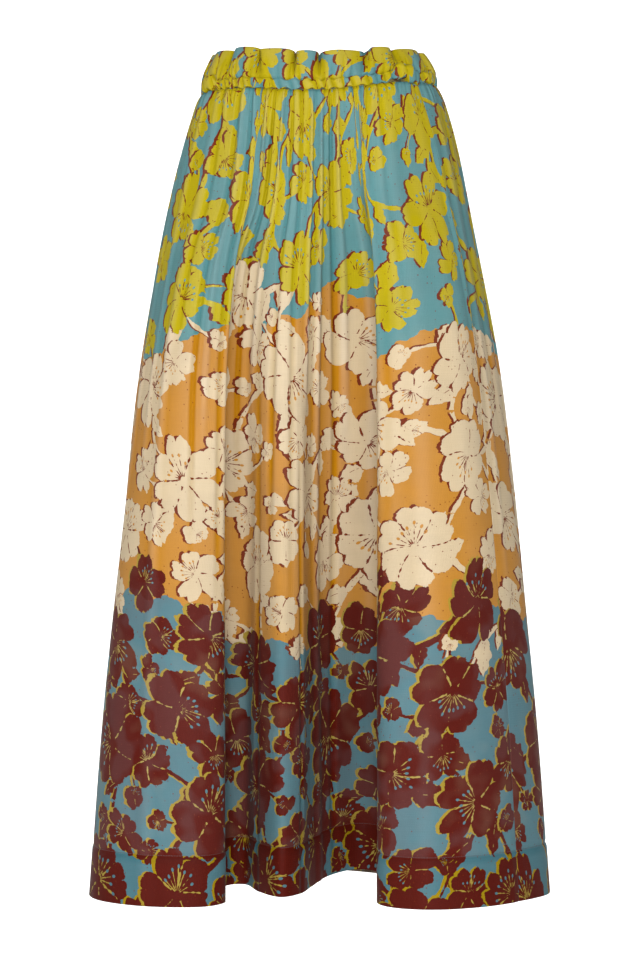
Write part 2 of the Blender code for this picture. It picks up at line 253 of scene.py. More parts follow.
def print_leaves(mesh, leaves, u, v):
    """Gives each face its place on the nearest leaf: along it, and across it, in leaf lengths."""
    table = np.array(leaves)
    centre_u = u.reshape(-1, 4).mean(axis=1)
    centre_v = v.reshape(-1, 4).mean(axis=1)
    nearest = np.empty(len(centre_u), dtype=int)
    for start in range(0, len(centre_u), 8000):
        part = slice(start, start + 8000)
        away = np.hypot(centre_u[part, None] - table[:, 6], centre_v[part, None] - table[:, 7])
        nearest[part] = np.argmin(away - 0.4 * table[:, 3], axis=1)
    leaf = table[np.repeat(nearest, 4)]
    cosine, sine, length = np.cos(leaf[:, 2]), np.sin(leaf[:, 2]), leaf[:, 3]
    across, down = u - leaf[:, 0], v - leaf[:, 1]
    along = (cosine * across + sine * down) / length
    lateral = (cosine * down - sine * across) / length
    bent = lateral + 0.22 * along * along - 0.10 * along
    shift_along = (cosine * SHADOW_SHIFT[0] + sine * SHADOW_SHIFT[1]) / length
    shift_across = (cosine * SHADOW_SHIFT[1] - sine * SHADOW_SHIFT[0]) / length
    corner_vectors(mesh, "leaf_place", along, bent, leaf[:, 5])
    corner_vectors(mesh, "leaf_shift", shift_along, shift_across, leaf[:, 4])


def print_cloth(mesh, u, v, seed, span, inside, double):
    """Lays one length of the printed voile on a mesh whose corners lie at u and v on the cloth."""
    random = np.random.RandomState(seed)
    thrown = [np.empty((0, 3))]
    for _, sizes, tries, apart, clear, _, _ in FLOWER_SIZES:
        thrown.append(scatter(random, span, sizes, tries, apart, np.vstack(thrown), clear))
    large, smaller = thrown[1], np.vstack(thrown[2:])
    stems = stems_between(random, large, seed) + stems_to(random, smaller, large, seed)
    leaves = leaves_beside(random, stems)
    for (name, _, _, _, _, petals, notches), spots in zip(FLOWER_SIZES, thrown[1:]):
        print_flowers(mesh, name, flowers_from(random, spots, petals, notches, seed), u, v)
    print_stems(mesh, stems, u, v)
    print_leaves(mesh, leaves, u, v)
    layer = mesh.uv_layers.new(name="cloth")
    layer.data.foreach_set("uv", np.stack([u, v], axis=1).astype(np.float32).ravel())
    corner_vectors(mesh, "make", inside, double, float(seed))


class Wiring:
    """A node tree, with short ways to add the nodes that the cloth is drawn with."""

    def __init__(self, tree):
        self.tree = tree

    def node(self, kind, **settings):
        made = self.tree.nodes.new(kind)
        for name, value in settings.items():
            setattr(made, name, value)
        return made

    def plug(self, socket, value):
        if isinstance(value, bpy.types.NodeSocket):
            self.tree.links.new(value, socket)
        elif isinstance(value, tuple) and len(value) == 3 and socket.type == "RGBA":
            socket.default_value = (*value, 1.0)
        else:
            socket.default_value = value

    def math(self, operation, *values, clamp=False):
        made = self.node("ShaderNodeMath", operation=operation, use_clamp=clamp)
        for socket, value in zip(made.inputs, values):
            self.plug(socket, value)
        return made.outputs[0]

    def vector(self, operation, *values):
        made = self.node("ShaderNodeVectorMath", operation=operation)
        for socket, value in zip(made.inputs, values):
            self.plug(socket, value)
        return made.outputs[1] if operation == "LENGTH" else made.outputs[0]

    def split(self, vector):
        made = self.node("ShaderNodeSeparateXYZ")
        self.plug(made.inputs[0], vector)
        return made.outputs

    def join(self, x, y, z):
        made = self.node("ShaderNodeCombineXYZ")
        for socket, value in zip(made.inputs, (x, y, z)):
            self.plug(socket, value)
        return made.outputs[0]

    def blend(self, share, first, second, how="MIX"):
        made = self.node("ShaderNodeMix", data_type="RGBA", blend_type=how)
        self.plug(made.inputs[0], share)
        self.plug(made.inputs[6], first)
        self.plug(made.inputs[7], second)
        return made.outputs[2]

    def noise(self, vector, scale, detail=2.0, roughness=0.5):
        made = self.node("ShaderNodeTexNoise", noise_dimensions="3D")
        self.plug(made.inputs["Vector"], vector)
        self.plug(made.inputs["Scale"], scale)
        self.plug(made.inputs["Detail"], detail)
        self.plug(made.inputs["Roughness"], roughness)
        return made.outputs["Fac"]

    def white(self, value):
        made = self.node("ShaderNodeTexWhiteNoise", noise_dimensions="1D")
        self.plug(made.inputs["W"], value)
        return made.outputs["Value"]

    def attribute(self, name):
        return self.node("ShaderNodeAttribute", attribute_name=name).outputs["Vector"]

    def call(self, group, *values):
        made = self.node("ShaderNodeGroup", node_tree=group)
        for socket, value in zip(made.inputs, values):
            self.plug(socket, value)
        return made.outputs


def new_group(name, inputs, outputs):
    """An empty node group with the named sockets, and its wiring."""
    tree = bpy.data.node_groups.new(name, "ShaderNodeTree")
    for side, sockets in (("INPUT", inputs), ("OUTPUT", outputs)):
        for label, kind in sockets:
            tree.interface.new_socket(label, in_out=side, socket_type=kind)
    wiring = Wiring(tree)
    entry = wiring.node("NodeGroupInput")
    leaving = wiring.node("NodeGroupOutput")
    return tree, wiring, entry.outputs, leaving.inputs


def petal_group():
    """Whether a place lies on a flower's petals, and where it lies between two of them."""
    tree, w, entry, leaving = new_group(
        "petals",
        [("Place", "NodeSocketVector"), ("Form", "NodeSocketVector"), ("Ragged", "NodeSocketFloat")],
        [("Fill", "NodeSocketFloat"), ("Radius", "NodeSocketFloat"), ("Turn", "NodeSocketFloat"),
         ("Between", "NodeSocketFloat"), ("Reach", "NodeSocketFloat")])
    place, form, ragged = entry[0], entry[1], entry[2]
    x, y, _ = w.split(place)
    petals, notch, seed = w.split(form)
    petals, seed = w.math("ROUND", petals), w.math("ROUND", seed)
    radius = w.math("SQRT", w.math("ADD", w.math("MULTIPLY", x, x), w.math("MULTIPLY", y, y)))
    turn = w.math("ARCTAN2", y, x)
    chance = w.math("FRACT", w.math("MULTIPLY", seed, 0.618))
    twist = w.math("MULTIPLY", w.math("SUBTRACT", chance, 0.5), 1.3)
    swung = w.math("ADD", turn, w.math("MULTIPLY", twist, radius))
    count = w.math("MULTIPLY", w.math("MULTIPLY", petals, swung), 1.0 / (2.0 * math.pi))
    number = w.math("FLOORED_MODULO", w.math("FLOOR", count), petals)
    between = w.math("ABSOLUTE", w.math("SUBTRACT", w.math("MULTIPLY", w.math("FRACT", count), 2.0), 1.0))
    chance = w.white(w.math("ADD", number, w.math("MULTIPLY", seed, 10.0)))
    length = w.math("SUBTRACT", 1.0, w.math("MULTIPLY", chance, 0.26))
    valley = w.math("SUBTRACT", 1.0, notch)
    roundness = w.math("SUBTRACT", 1.0, w.math("POWER", between, 3.2))
    reach = w.math("ADD", valley, w.math("MULTIPLY", w.math("SUBTRACT", length, valley), roundness))
    dent = w.math("SUBTRACT", 1.0, w.math("MULTIPLY", between, 3.4), clamp=True)
    reach = w.math("SUBTRACT", reach, w.math("MULTIPLY", w.math("MULTIPLY", dent, dent), 0.10))
    edge = w.math("ADD", reach, ragged)
    fill = w.math("LESS_THAN", radius, edge)
    for socket, value in zip(leaving, (fill, radius, turn, between, reach)):
        w.plug(socket, value)
    return tree


def petal_line_group():
    """The fine lines drawn inside a flower: between its petals, its stamens and their tips."""
    tree, w, entry, leaving = new_group(
        "petal_lines",
        [("Radius", "NodeSocketFloat"), ("Turn", "NodeSocketFloat"), ("Between", "NodeSocketFloat"),
         ("Reach", "NodeSocketFloat"), ("Form", "NodeSocketVector"), ("Broken", "NodeSocketFloat")],
        [("Line", "NodeSocketFloat"), ("Fleck", "NodeSocketFloat")])
    radius, turn, between, reach, form, broken = entry[:6]
    petals, _, seed = w.split(form)
    petals, seed = w.math("ROUND", petals), w.math("ROUND", seed)
    off_seam = w.math("MULTIPLY", w.math("SUBTRACT", 1.0, between), w.math("DIVIDE", radius, petals))
    seam = w.math("LESS_THAN", off_seam, w.math("MULTIPLY", broken, 0.0062))
    seam = w.math("MULTIPLY", seam, w.math("GREATER_THAN", radius, 0.16))
    seam = w.math("MULTIPLY", seam, w.math("LESS_THAN", radius, w.math("MULTIPLY", reach, 0.93)))
    stamens = w.math("MULTIPLY", turn, 3.1)
    which = w.math("ROUND", stamens)
    tip = w.math("ADD", 0.34, w.math("MULTIPLY", w.white(w.math("ADD", which, seed)), 0.22))
    aside = w.math("MULTIPLY", w.math("ABSOLUTE", w.math("SUBTRACT", stamens, which)),
                   w.math("MULTIPLY", radius, 0.32))
    in_fan = w.math("LESS_THAN", w.math("ABSOLUTE", turn), 1.15)
    thread = w.math("MULTIPLY", w.math("LESS_THAN", aside, w.math("MULTIPLY", broken, 0.0120)), in_fan)
    thread = w.math("MULTIPLY", thread, w.math("LESS_THAN", radius, tip))
    thread = w.math("MULTIPLY", thread, w.math("GREATER_THAN", radius, 0.07))
    above = w.math("SUBTRACT", radius, tip)
    flattened = w.math("MULTIPLY", w.math("MULTIPLY", aside, aside), 2.2)
    blob = w.math("ADD", w.math("MULTIPLY", above, above), flattened)
    blob = w.math("MULTIPLY", w.math("LESS_THAN", blob, 0.0018), in_fan)
    w.plug(leaving[0], w.math("MAXIMUM", seam, thread))
    w.plug(leaving[1], blob)
    return tree


def leaf_group():
    """Whether a place lies on a pointed leaf with a wavy edge, and whether on its middle vein."""
    tree, w, entry, leaving = new_group(
        "leaf",
        [("Place", "NodeSocketVector"), ("Width", "NodeSocketFloat"), ("Ragged", "NodeSocketFloat")],
        [("Fill", "NodeSocketFloat"), ("Vein", "NodeSocketFloat")])
    along, across, _ = w.split(entry[0])
    held = w.math("MINIMUM", w.math("MAXIMUM", along, 0.0), 1.0)
    belly = w.math("POWER", w.math("SINE", w.math("MULTIPLY", w.math("POWER", held, 0.8), math.pi)), 0.85)
    lobes = w.math("ADD", 1.0, w.math("MULTIPLY", w.math("SINE", w.math("MULTIPLY", along, 19.0)), 0.14))
    half = w.math("MULTIPLY", w.math("MULTIPLY", belly, entry[1]), lobes)
    aside = w.math("ABSOLUTE", across)
    fill = w.math("LESS_THAN", aside, w.math("ADD", half, entry[2]))
    fill = w.math("MULTIPLY", fill, w.math("GREATER_THAN", along, 0.005))
    fill = w.math("MULTIPLY", fill, w.math("LESS_THAN", along, 0.995))
    vein = w.math("LESS_THAN", aside, 0.009)
    vein = w.math("MULTIPLY", vein, w.math("LESS_THAN", along, 0.80))
    w.plug(leaving[0], fill)
    w.plug(leaving[1], w.math("MULTIPLY", vein, w.math("GREATER_THAN", along, 0.10)))
    return tree


def ink_group():
    """The petal, shadow and line colours of a kind of flower."""
    tree, w, entry, leaving = new_group(
        "inks", [("Kind", "NodeSocketFloat")],
        [("Petal", "NodeSocketColor"), ("Shadow", "NodeSocketColor"), ("Line", "NodeSocketColor"),
         ("Fleck", "NodeSocketColor")])
    second = w.math("GREATER_THAN", entry[0], 0.5)
    third = w.math("GREATER_THAN", entry[0], 1.5)
    for socket, inks in zip(leaving, ((CHARTREUSE, CREAM, MAROON), (RUST, RUST, MUSTARD),
                                      (RUST, RUST, PALE_YELLOW), (TURQUOISE, ORANGE, DEEP_TURQUOISE))):
        w.plug(socket, w.blend(third, w.blend(second, inks[0], inks[1]), inks[2]))
    return tree


def voile_material(name):
    """The printed cloth: bands, stems, leaves and flowers, then specks, dye, painted shade, weave and
    sheerness.
    """
    material = bpy.data.materials.new(name)
    material.use_nodes = True
    w = Wiring(material.node_tree)
    shader = w.tree.nodes["Principled BSDF"]
    output = w.tree.nodes["Material Output"]
    uv = w.node("ShaderNodeUVMap", uv_map="cloth").outputs[0]
    u, v, _ = w.split(uv)
    inside, double, seed = w.split(w.attribute("make"))
    moved = w.join(u, v, w.math("MULTIPLY", seed, 0.37))

    # The ragged edge of the inks, and the breaks in their fine lines
    rough = w.noise(moved, 310.0, 2.5, 0.62)
    ragged = w.math("MULTIPLY", w.math("SUBTRACT", rough, 0.5), RAGGED_EDGE)
    wobble = w.math("MULTIPLY", w.math("SUBTRACT", w.noise(moved, 70.0, 1.0), 0.5), 0.0110)
    ragged = w.math("ADD", ragged, wobble)
    broken = w.math("MULTIPLY", w.math("SUBTRACT", w.noise(moved, 190.0, 1.5), 0.40, clamp=True), 5.0)

    # The three bands, with a slow wave and a torn edge between them
    slow = w.math("SINE", w.math("ADD", w.math("MULTIPLY", u, 9.0), seed))
    quick = w.math("SINE", w.math("ADD", w.math("MULTIPLY", u, 23.0), w.math("MULTIPLY", seed, 2.0)))
    wave = w.math("ADD", w.math("MULTIPLY", slow, 0.026), w.math("MULTIPLY", quick, 0.014))
    torn = w.math("MULTIPLY", w.math("SUBTRACT", w.noise(moved, 26.0, 2.0), 0.5), 0.070)
    torn = w.math("ADD", torn, ragged)
    below_first = w.math("GREATER_THAN", w.math("SUBTRACT", w.math("ADD", v, torn), wave), FIRST_BORDER)
    below_second = w.math("GREATER_THAN", w.math("ADD", w.math("ADD", v, torn), wave), SECOND_BORDER)
    colour = w.blend(below_second, w.blend(below_first, TURQUOISE, ORANGE), DEEP_TURQUOISE)

    inks = ink_group()
    petals = petal_group()
    petal_lines = petal_line_group()

    # Stems and leaves, each with its darker ink beside it
    stem_place, stem_shift = w.split(w.attribute("stem_place")), w.split(w.attribute("stem_shift"))
    stem_ink = w.call(inks, stem_shift[2])
    leaf_place, leaf_shift = w.attribute("leaf_place"), w.attribute("leaf_shift")
    leaf_form, leaf_kind = w.split(leaf_place)[2], w.split(leaf_shift)[2]
    leaf_ink = w.call(inks, leaf_kind)
    leaf = leaf_group()
    leaf_rag = w.math("MULTIPLY", ragged, 22.0)
    stem_edge = w.math("ADD", stem_place[2], w.math("MULTIPLY", ragged, 0.45))
    in_reach = w.math("LESS_THAN", w.math("ABSOLUTE", stem_place[1]), 0.006)
    off_shadow = w.math("ABSOLUTE", w.math("ADD", stem_place[0], stem_shift[0]))
    stem_dark = w.math("LESS_THAN", off_shadow, stem_edge)
    colour = w.blend(w.math("MULTIPLY", stem_dark, in_reach), colour, stem_ink[1])
    leaf_dark = w.call(leaf, w.vector("ADD", leaf_place, leaf_shift), leaf_form, leaf_rag)[0]
    colour = w.blend(leaf_dark, colour, leaf_ink[1])
    leaf_light = w.call(leaf, leaf_place, leaf_form, leaf_rag)
    colour = w.blend(leaf_light[0], colour, leaf_ink[0])
    stem_light = w.math("LESS_THAN", w.math("ABSOLUTE", stem_place[0]), stem_edge)
    colour = w.blend(w.math("MULTIPLY", stem_light, in_reach), colour, stem_ink[0])
    vein = w.math("MULTIPLY", leaf_light[1], w.math("GREATER_THAN", broken, 0.6))
    colour = w.blend(vein, colour, leaf_ink[2])

    # Flowers, the largest on top
    for name in ("small", "middle", "large"):
        place, shift = w.attribute(name + "_place"), w.attribute(name + "_shift")
        form = w.attribute(name + "_form")
        rag = w.math("DIVIDE", ragged, w.split(place)[2])
        ink = w.call(inks, w.split(shift)[2])
        dark = w.call(petals, w.vector("ADD", place, shift), form, rag)[0]
        colour = w.blend(dark, colour, ink[1])
        petal = w.call(petals, place, form, rag)
        colour = w.blend(petal[0], colour, ink[0])
        lines = w.call(petal_lines, petal[1], petal[2], petal[3], petal[4], form, broken)
        colour = w.blend(w.math("MULTIPLY", lines[0], petal[0]), colour, ink[2])
        colour = w.blend(w.math("MULTIPLY", lines[1], petal[0]), colour, ink[3])

    # Specks of ink
    specks = w.node("ShaderNodeTexVoronoi", feature="F1")
    w.plug(specks.inputs["Vector"], moved)
    w.plug(specks.inputs["Scale"], 210.0)
    cell = w.split(specks.outputs["Color"])[0]
    speck = w.math("MULTIPLY", w.math("LESS_THAN", specks.outputs["Distance"], 0.15),
                   w.math("GREATER_THAN", cell, 0.66))
    colour = w.blend(w.math("MULTIPLY", speck, 0.75), colour, RUST)

    # Uneven yarn and dye, painted shade and light of the skirt's inside seen through the voile, painted
    # shade in the folds' valleys and creases, and the doubled hem
    slubs = w.noise(w.join(w.math("MULTIPLY", u, 1.0), w.math("MULTIPLY", v, 0.06), seed), 900.0, 1.0)
    weft = w.noise(w.join(w.math("MULTIPLY", u, 0.06), v, seed), 900.0, 1.0)
    fade = w.noise(moved, 14.0, 3.0)
    value = w.math("ADD", 0.86, w.math("MULTIPLY", w.math("ADD", slubs, weft), 0.08))
    value = w.math("ADD", value, w.math("MULTIPLY", w.math("SUBTRACT", fade, 0.5), 0.14))
    # Painted shade of the skirt's inside showing through the sheer voile, with paler painted patches of lit
    # cloth, most in the lowest band and none on the doubled hem
    behind = w.noise(w.vector("ADD", moved, (3.1, 1.7, 0.4)), 19.0, 2.0)
    see_through_shade = w.math("MULTIPLY", w.math("SUBTRACT", behind, 0.515), 14.0, clamp=True)
    pale = w.math("MULTIPLY", w.math("SUBTRACT", 0.455, behind), 9.0, clamp=True)
    sheer = w.math("ADD", 0.05, w.math("MULTIPLY", below_second, 0.09))
    sheer = w.math("MULTIPLY", w.math("SUBTRACT", 1.0, double), sheer)
    colour = w.blend(w.math("MULTIPLY", see_through_shade, sheer), colour, SEEN_THROUGH_SHADE)
    colour = w.blend(w.math("MULTIPLY", pale, w.math("MULTIPLY", sheer, 0.4)), colour, CREAM)
    # Painted shade from the meshes, on the outside only: darker and richer in the folds' valleys and
    # creases, lighter on the ridges
    painted_shade = w.node("ShaderNodeAttribute", attribute_name="painted_shade").outputs["Fac"]
    deep = w.math("MULTIPLY", painted_shade, w.math("SUBTRACT", 1.0, inside))
    value = w.math("SUBTRACT", value, w.math("MULTIPLY", deep, 0.080))
    value = w.math("SUBTRACT", value, w.math("MULTIPLY", double, 0.13))
    hue = w.node("ShaderNodeHueSaturation")
    w.plug(hue.inputs["Value"], value)
    hem_and_shade_saturation = w.math("ADD", 1.0, w.math("MULTIPLY", double, 0.10))
    hem_and_shade_saturation = w.math("ADD", hem_and_shade_saturation, w.math("MULTIPLY", deep, 0.11))
    w.plug(hue.inputs["Saturation"], w.math("SUBTRACT", hem_and_shade_saturation, w.math("MULTIPLY", inside, 0.22)))
    w.plug(hue.inputs["Color"], colour)
    colour = w.blend(w.math("MULTIPLY", inside, 0.22), hue.outputs[0], CREAM)

    # The weave, and the light that passes through the cloth
    warp = w.node("ShaderNodeTexWave", wave_type="BANDS", bands_direction="X")
    woof = w.node("ShaderNodeTexWave", wave_type="BANDS", bands_direction="Y")
    for wave_node in (warp, woof):
        w.plug(wave_node.inputs["Vector"], uv)
        w.plug(wave_node.inputs["Scale"], THREADS_PER_METRE / (2 * math.pi) / 3.2)
        w.plug(wave_node.inputs["Distortion"], 0.6)
        w.plug(wave_node.inputs["Detail"], 0.0)
        w.plug(wave_node.inputs["Detail Scale"], 0.2)
    threads = w.math("MAXIMUM", warp.outputs["Fac"], woof.outputs["Fac"])
    threads = w.math("ADD", threads, w.math("MULTIPLY", w.math("ADD", slubs, weft), 1.2))
    bump = w.node("ShaderNodeBump")
    w.plug(bump.inputs["Strength"], 0.35)
    w.plug(bump.inputs["Distance"], 0.0002)
    w.plug(bump.inputs["Height"], threads)

    w.plug(shader.inputs["Base Color"], colour)
    w.plug(shader.inputs["Roughness"], w.math("ADD", 0.60, w.math("MULTIPLY", slubs, 0.14)))
    w.plug(shader.inputs["Normal"], bump.outputs[0])
    shader.inputs["Specular IOR Level"].default_value = 0.12
    shader.inputs["Sheen Weight"].default_value = 0.03
    shader.inputs["Sheen Roughness"].default_value = 0.45
    glow = w.node("ShaderNodeBsdfTranslucent")
    w.plug(glow.inputs["Color"], colour)
    w.plug(glow.inputs["Normal"], bump.outputs[0])
    through = w.node("ShaderNodeMixShader")
    through.inputs[0].default_value = 0.22
    w.tree.links.new(shader.outputs[0], through.inputs[1])
    w.tree.links.new(glow.outputs[0], through.inputs[2])
    w.tree.links.new(through.outputs[0], output.inputs[0])
    return material


printed_voile = voile_material("printed_voile")


# Front and back panels. Two like trapezoids of the voile, 0.65 m wide where they are gathered into
# the casing and 1.00 m at the hem, joined by side seams, with a deep turned-up hem. Their folds
# start at the gathers and open towards the hem.
WAIST_HALF_WIDTH = 0.1240
WAIST_HALF_DEPTH = 0.0925
WAIST_LEVEL = 0.0065
WAIST_SIDE_TILT = 0.0045
FRONT_DIP = 0.0095
HEM_DROP = 0.839
SEAM_GAP = 0.0003
HEM_FRONT_DEPTH = 0.118
HEM_BACK_DEPTH = 0.165
STRAIGHT_HANG_WITHIN = 0.105
FULL_FLARE_BEYOND = 0.235
CASING_HALF_HEIGHT = 0.0050
PANEL_LENGTH = HEM_DROP + WAIST_LEVEL - CASING_HALF_HEIGHT
PANEL_TOP_WIDTH = 0.65
PANEL_HEM_WIDTH = 1.00
HEM_TURN_UP = 0.052
VOILE_THICKNESS = 0.00045
HEM_THICKNESS = 0.0011
PANEL_COLUMNS = 480
HEM_THREAD = (0.045, 0.030, 0.030)
# Columns on each side that a fold is measured against, and the depth that counts as a full hollow
HOLLOW_REACH = 18
FULL_HOLLOW = 0.0013
SWELL_UNDER_CASING = 0.0016
PLEAT_HEIGHT = 0.0029
PLEAT_REACH = 0.015
SLOW_WAVE_HEIGHT = 0.00035
# The stretch by the right side seam that hangs almost smooth: middle and half width in degrees
SMOOTH_MIDDLE = 317.0
SMOOTH_HALF_WIDTH = 13.0
SMOOTH_SHARE = 0.55
# How far the sides are drawn in at the hip, and the depth below the casing where they are most so
DRAWN_IN_RIGHT = 0.0062
DRAWN_IN_LEFT = 0.0030
DRAWN_IN_DEPTH = 0.15
DRAWN_IN_REACH = 0.11
# Shade under the casing and where the hem's raw edge is turned in, and how far down each reaches
CASING_SHADE = 1.2
TURNED_EDGE_SHADE = 1.3
SHADE_REACH = 0.003

# Share of the drop, then how far the flare, the straight hang and the folds have opened there
OPENING = np.array([
    (0.00, 0.000, 0.00, 0.00), (0.06, 0.155, 0.10, 0.03), (0.14, 0.300, 0.28, 0.12),
    (0.20, 0.385, 0.60, 0.19), (0.30, 0.497, 0.86, 0.31), (0.50, 0.668, 0.99, 0.54),
    (0.75, 0.862, 1.00, 0.79), (1.00, 1.000, 1.00, 1.00)])

# Degrees round the waist, the place at the hem, and how far the hem is lifted
FRONT_FOLDS = [
    (180, -0.2405, -0.008, 0.000), (197, -0.227, -0.055, 0.000), (211, -0.190, -0.091, 0.000),
    (224, -0.148, -0.105, 0.000), (234, -0.114, -0.099, 0.000), (239.5, -0.0965, -0.074, 0.001),
    (243, -0.108, -0.022, 0.003), (247.5, -0.096, 0.033, 0.003), (252, -0.077, 0.037, 0.003),
    (255.5, -0.062, -0.002, 0.001), (260, -0.040, -0.034, 0.000), (265, -0.0195, -0.015, 0.001),
    (269, -0.0085, 0.024, 0.003), (274, 0.009, 0.067, 0.008), (280, 0.040, 0.098, 0.011),
    (284, 0.066, 0.086, 0.009), (287.5, 0.072, 0.010, 0.004), (291.5, 0.0600, -0.078, 0.001),
    (297, 0.079, -0.110, 0.000), (307, 0.120, -0.122, 0.000), (316, 0.166, -0.103, 0.000)]
BACK_FOLDS = [
    (325, 0.206, -0.064, 0.000), (351, 0.239, -0.014, 0.000), (368, 0.239, 0.042, 0.000),
    (385, 0.214, 0.104, 0.000), (399, 0.172, 0.146, 0.001), (410, 0.132, 0.138, 0.001),
    (419, 0.104, 0.086, 0.004), (430, 0.068, 0.128, 0.002), (444, 0.026, 0.170, 0.000),
    (455, -0.016, 0.152, 0.001), (464, -0.046, 0.094, 0.004), (475, -0.082, 0.122, 0.002),
    (488, -0.124, 0.158, 0.000), (501, -0.168, 0.144, 0.000), (514, -0.207, 0.098, 0.001),
    (526, -0.236, 0.052, 0.000)]
FULL_TURN = 360.0

# Degrees round the waist, top and bottom as depths below the casing, half width in degrees, height
LONG_FOLDS = [
    (188, 0.03, 0.6, 3.0, 0.0015), (203, 0, 0.45, 2.1, 0.0014), (214, 0.02, 0.84, 2.5, 0.0017),
    (219, 0, 0.3, 1.5, -0.0015), (228.5, 0, 0.52, 1.2, -0.0029), (232, 0, 0.4, 1.2, 0.0026),
    (237, 0, 0.6, 1.0, -0.0031), (245.5, 0, 0.4, 0.9, 0.0026), (249.5, 0, 0.46, 0.7, -0.0036),
    (253.5, 0, 0.42, 0.8, 0.0026), (258, 0.02, 0.55, 0.7, -0.0029), (262.5, 0, 0.62, 0.8, -0.0024),
    (267, 0, 0.36, 0.8, 0.0029), (271, 0.02, 0.84, 0.9, 0.0031), (275.5, 0, 0.84, 0.8, -0.0029),
    (278, 0, 0.4, 0.8, 0.0027), (282.5, 0.1, 0.84, 0.9, 0.0026), (289, 0, 0.3, 0.9, 0.0014),
    (294, 0, 0.55, 1.5, -0.0014), (299, 0, 0.36, 1.5, 0.0013), (304, 0.04, 0.84, 2.8, 0.0017),
    (311, 0.1, 0.84, 3.0, -0.0015), (319, 0.02, 0.5, 2.5, 0.0013), (333, 0.02, 0.6, 2.8, 0.0014),
    (343, 0, 0.4, 2.8, -0.0013), (360, 0, 0.62, 2.6, 0.0030), (374, 0, 0.45, 2.2, -0.0030),
    (392, 0.02, 0.6, 2.4, 0.0032), (404, 0, 0.5, 2.0, -0.0032), (415, 0, 0.4, 2.0, 0.0030),
    (424, 0, 0.6, 1.8, -0.0032), (436, 0, 0.84, 2.2, 0.0030), (449, 0, 0.5, 1.8, -0.0034),
    (459, 0, 0.42, 1.8, 0.0030), (469, 0, 0.6, 1.8, -0.0030), (481, 0.02, 0.84, 2.2, 0.0032),
    (494, 0, 0.5, 2.0, -0.0032), (507, 0, 0.42, 2.2, 0.0030), (521, 0.02, 0.6, 2.2, -0.0028),
    (533, 0, 0.5, 2.0, 0.0028),
    (255, 0.30, 0.84, 0.50, -0.0020), (265.3, 0.40, 0.84, 0.50, -0.0026)]


def hermite(knots, values, slopes, at):
    """Cubic through the values at the knots, with the given slopes."""
    span = np.clip(np.searchsorted(knots, at, side="right") - 1, 0, len(knots) - 2)
    width = knots[span + 1] - knots[span]
    t = (at - knots[span]) / width
    start = (1 + 2 * t) * (1 - t) ** 2 * values[span] + t * (1 - t) ** 2 * width * slopes[span]
    end = t * t * (3 - 2 * t) * values[span + 1] - t * t * (1 - t) * width * slopes[span + 1]
    return start + end


def waist_height(turn):
    """Height of the casing's centre line: it dips in front and climbs to one side."""
    front = np.maximum(0.0, -np.sin(turn)) ** 6
    return WAIST_LEVEL + WAIST_SIDE_TILT * np.cos(turn) - FRONT_DIP * front


def share_of_run(x, y):
    """How far along an open run of points each one lies, from 0 to 1."""
    run = np.concatenate([[0.0], np.cumsum(np.hypot(np.diff(x), np.diff(y)))])
    return run / run[-1]


class FoldRing:
    """The closed run of folds round the skirt, read at any place along it."""

    def __init__(self, folds):
        closing = (folds[0][0] + FULL_TURN, *folds[0][1:])
        self.table = np.array([*folds, closing], dtype=float)
        steps = np.linalg.norm(np.diff(self.table[:, 1:3], axis=0), axis=1) ** 0.5
        self.knots = np.concatenate([[0.0], np.cumsum(steps)])
        turned = np.array([FULL_TURN, 0.0, 0.0, 0.0])
        before = np.vstack([self.table[-2] - turned, self.table[:-1]])
        after = np.vstack([self.table[1:], self.table[1] + turned])
        period = self.knots[-1]
        knot_before = np.concatenate([[self.knots[-2] - period], self.knots[:-1]])
        knot_after = np.concatenate([self.knots[1:], [self.knots[1] + period]])
        self.slopes = (after - before) / (knot_after - knot_before)[:, None]

    def read(self, place):
        """Waist turn in radians, hem x, hem y and lift at each place."""
        columns = [hermite(self.knots, self.table[:, k], self.slopes[:, k], place) for k in range(4)]
        columns[0] = np.radians(columns[0])
        return columns

    def spread_columns(self, first_fold, last_fold, count):
        """Places for count + 1 columns, evenly by the mean of waist and hem lengths."""
        places = np.linspace(self.knots[first_fold], self.knots[last_fold],
                             (last_fold - first_fold) * 40 + 1)
        turn, hem_x, hem_y, _ = self.read(places)
        waist = share_of_run(WAIST_HALF_WIDTH * np.cos(turn), WAIST_HALF_DEPTH * np.sin(turn))
        share = (waist + share_of_run(hem_x, hem_y)) / 2
        return np.interp(np.linspace(0.0, 1.0, count + 1), share, places)

    def at_depth(self, places, depth):
        """Points of the smooth cloth at a depth below the casing."""
        turn, hem_x, hem_y, lift = self.read(places)
        flare, hang, fold = (
            hermite(OPENING[:, 0], OPENING[:, k], np.gradient(OPENING[:, k], OPENING[:, 0]),
                    min(depth / HEM_DROP, 1.0)) for k in (1, 2, 3))
        waist_x = WAIST_HALF_WIDTH * np.cos(turn)
        waist_y = WAIST_HALF_DEPTH * np.sin(turn)
        side = (np.abs(hem_x) - STRAIGHT_HANG_WITHIN) / (FULL_FLARE_BEYOND - STRAIGHT_HANG_WITHIN)
        side = np.clip(side, 0.0, 1.0)
        sideways = hang + (flare - hang) * side * side * (3 - 2 * side)
        reach = np.where(np.sin(turn) < 0, HEM_FRONT_DEPTH, HEM_BACK_DEPTH)
        cone_y = reach * np.sin(turn)
        x = waist_x + sideways * (hem_x - waist_x)
        y = waist_y + flare * (cone_y - waist_y) + fold * (hem_y - cone_y)
        top = waist_height(turn) - CASING_HALF_HEIGHT - SEAM_GAP
        z = top + (-HEM_DROP + lift - top) * depth / PANEL_LENGTH
        return x, y, z


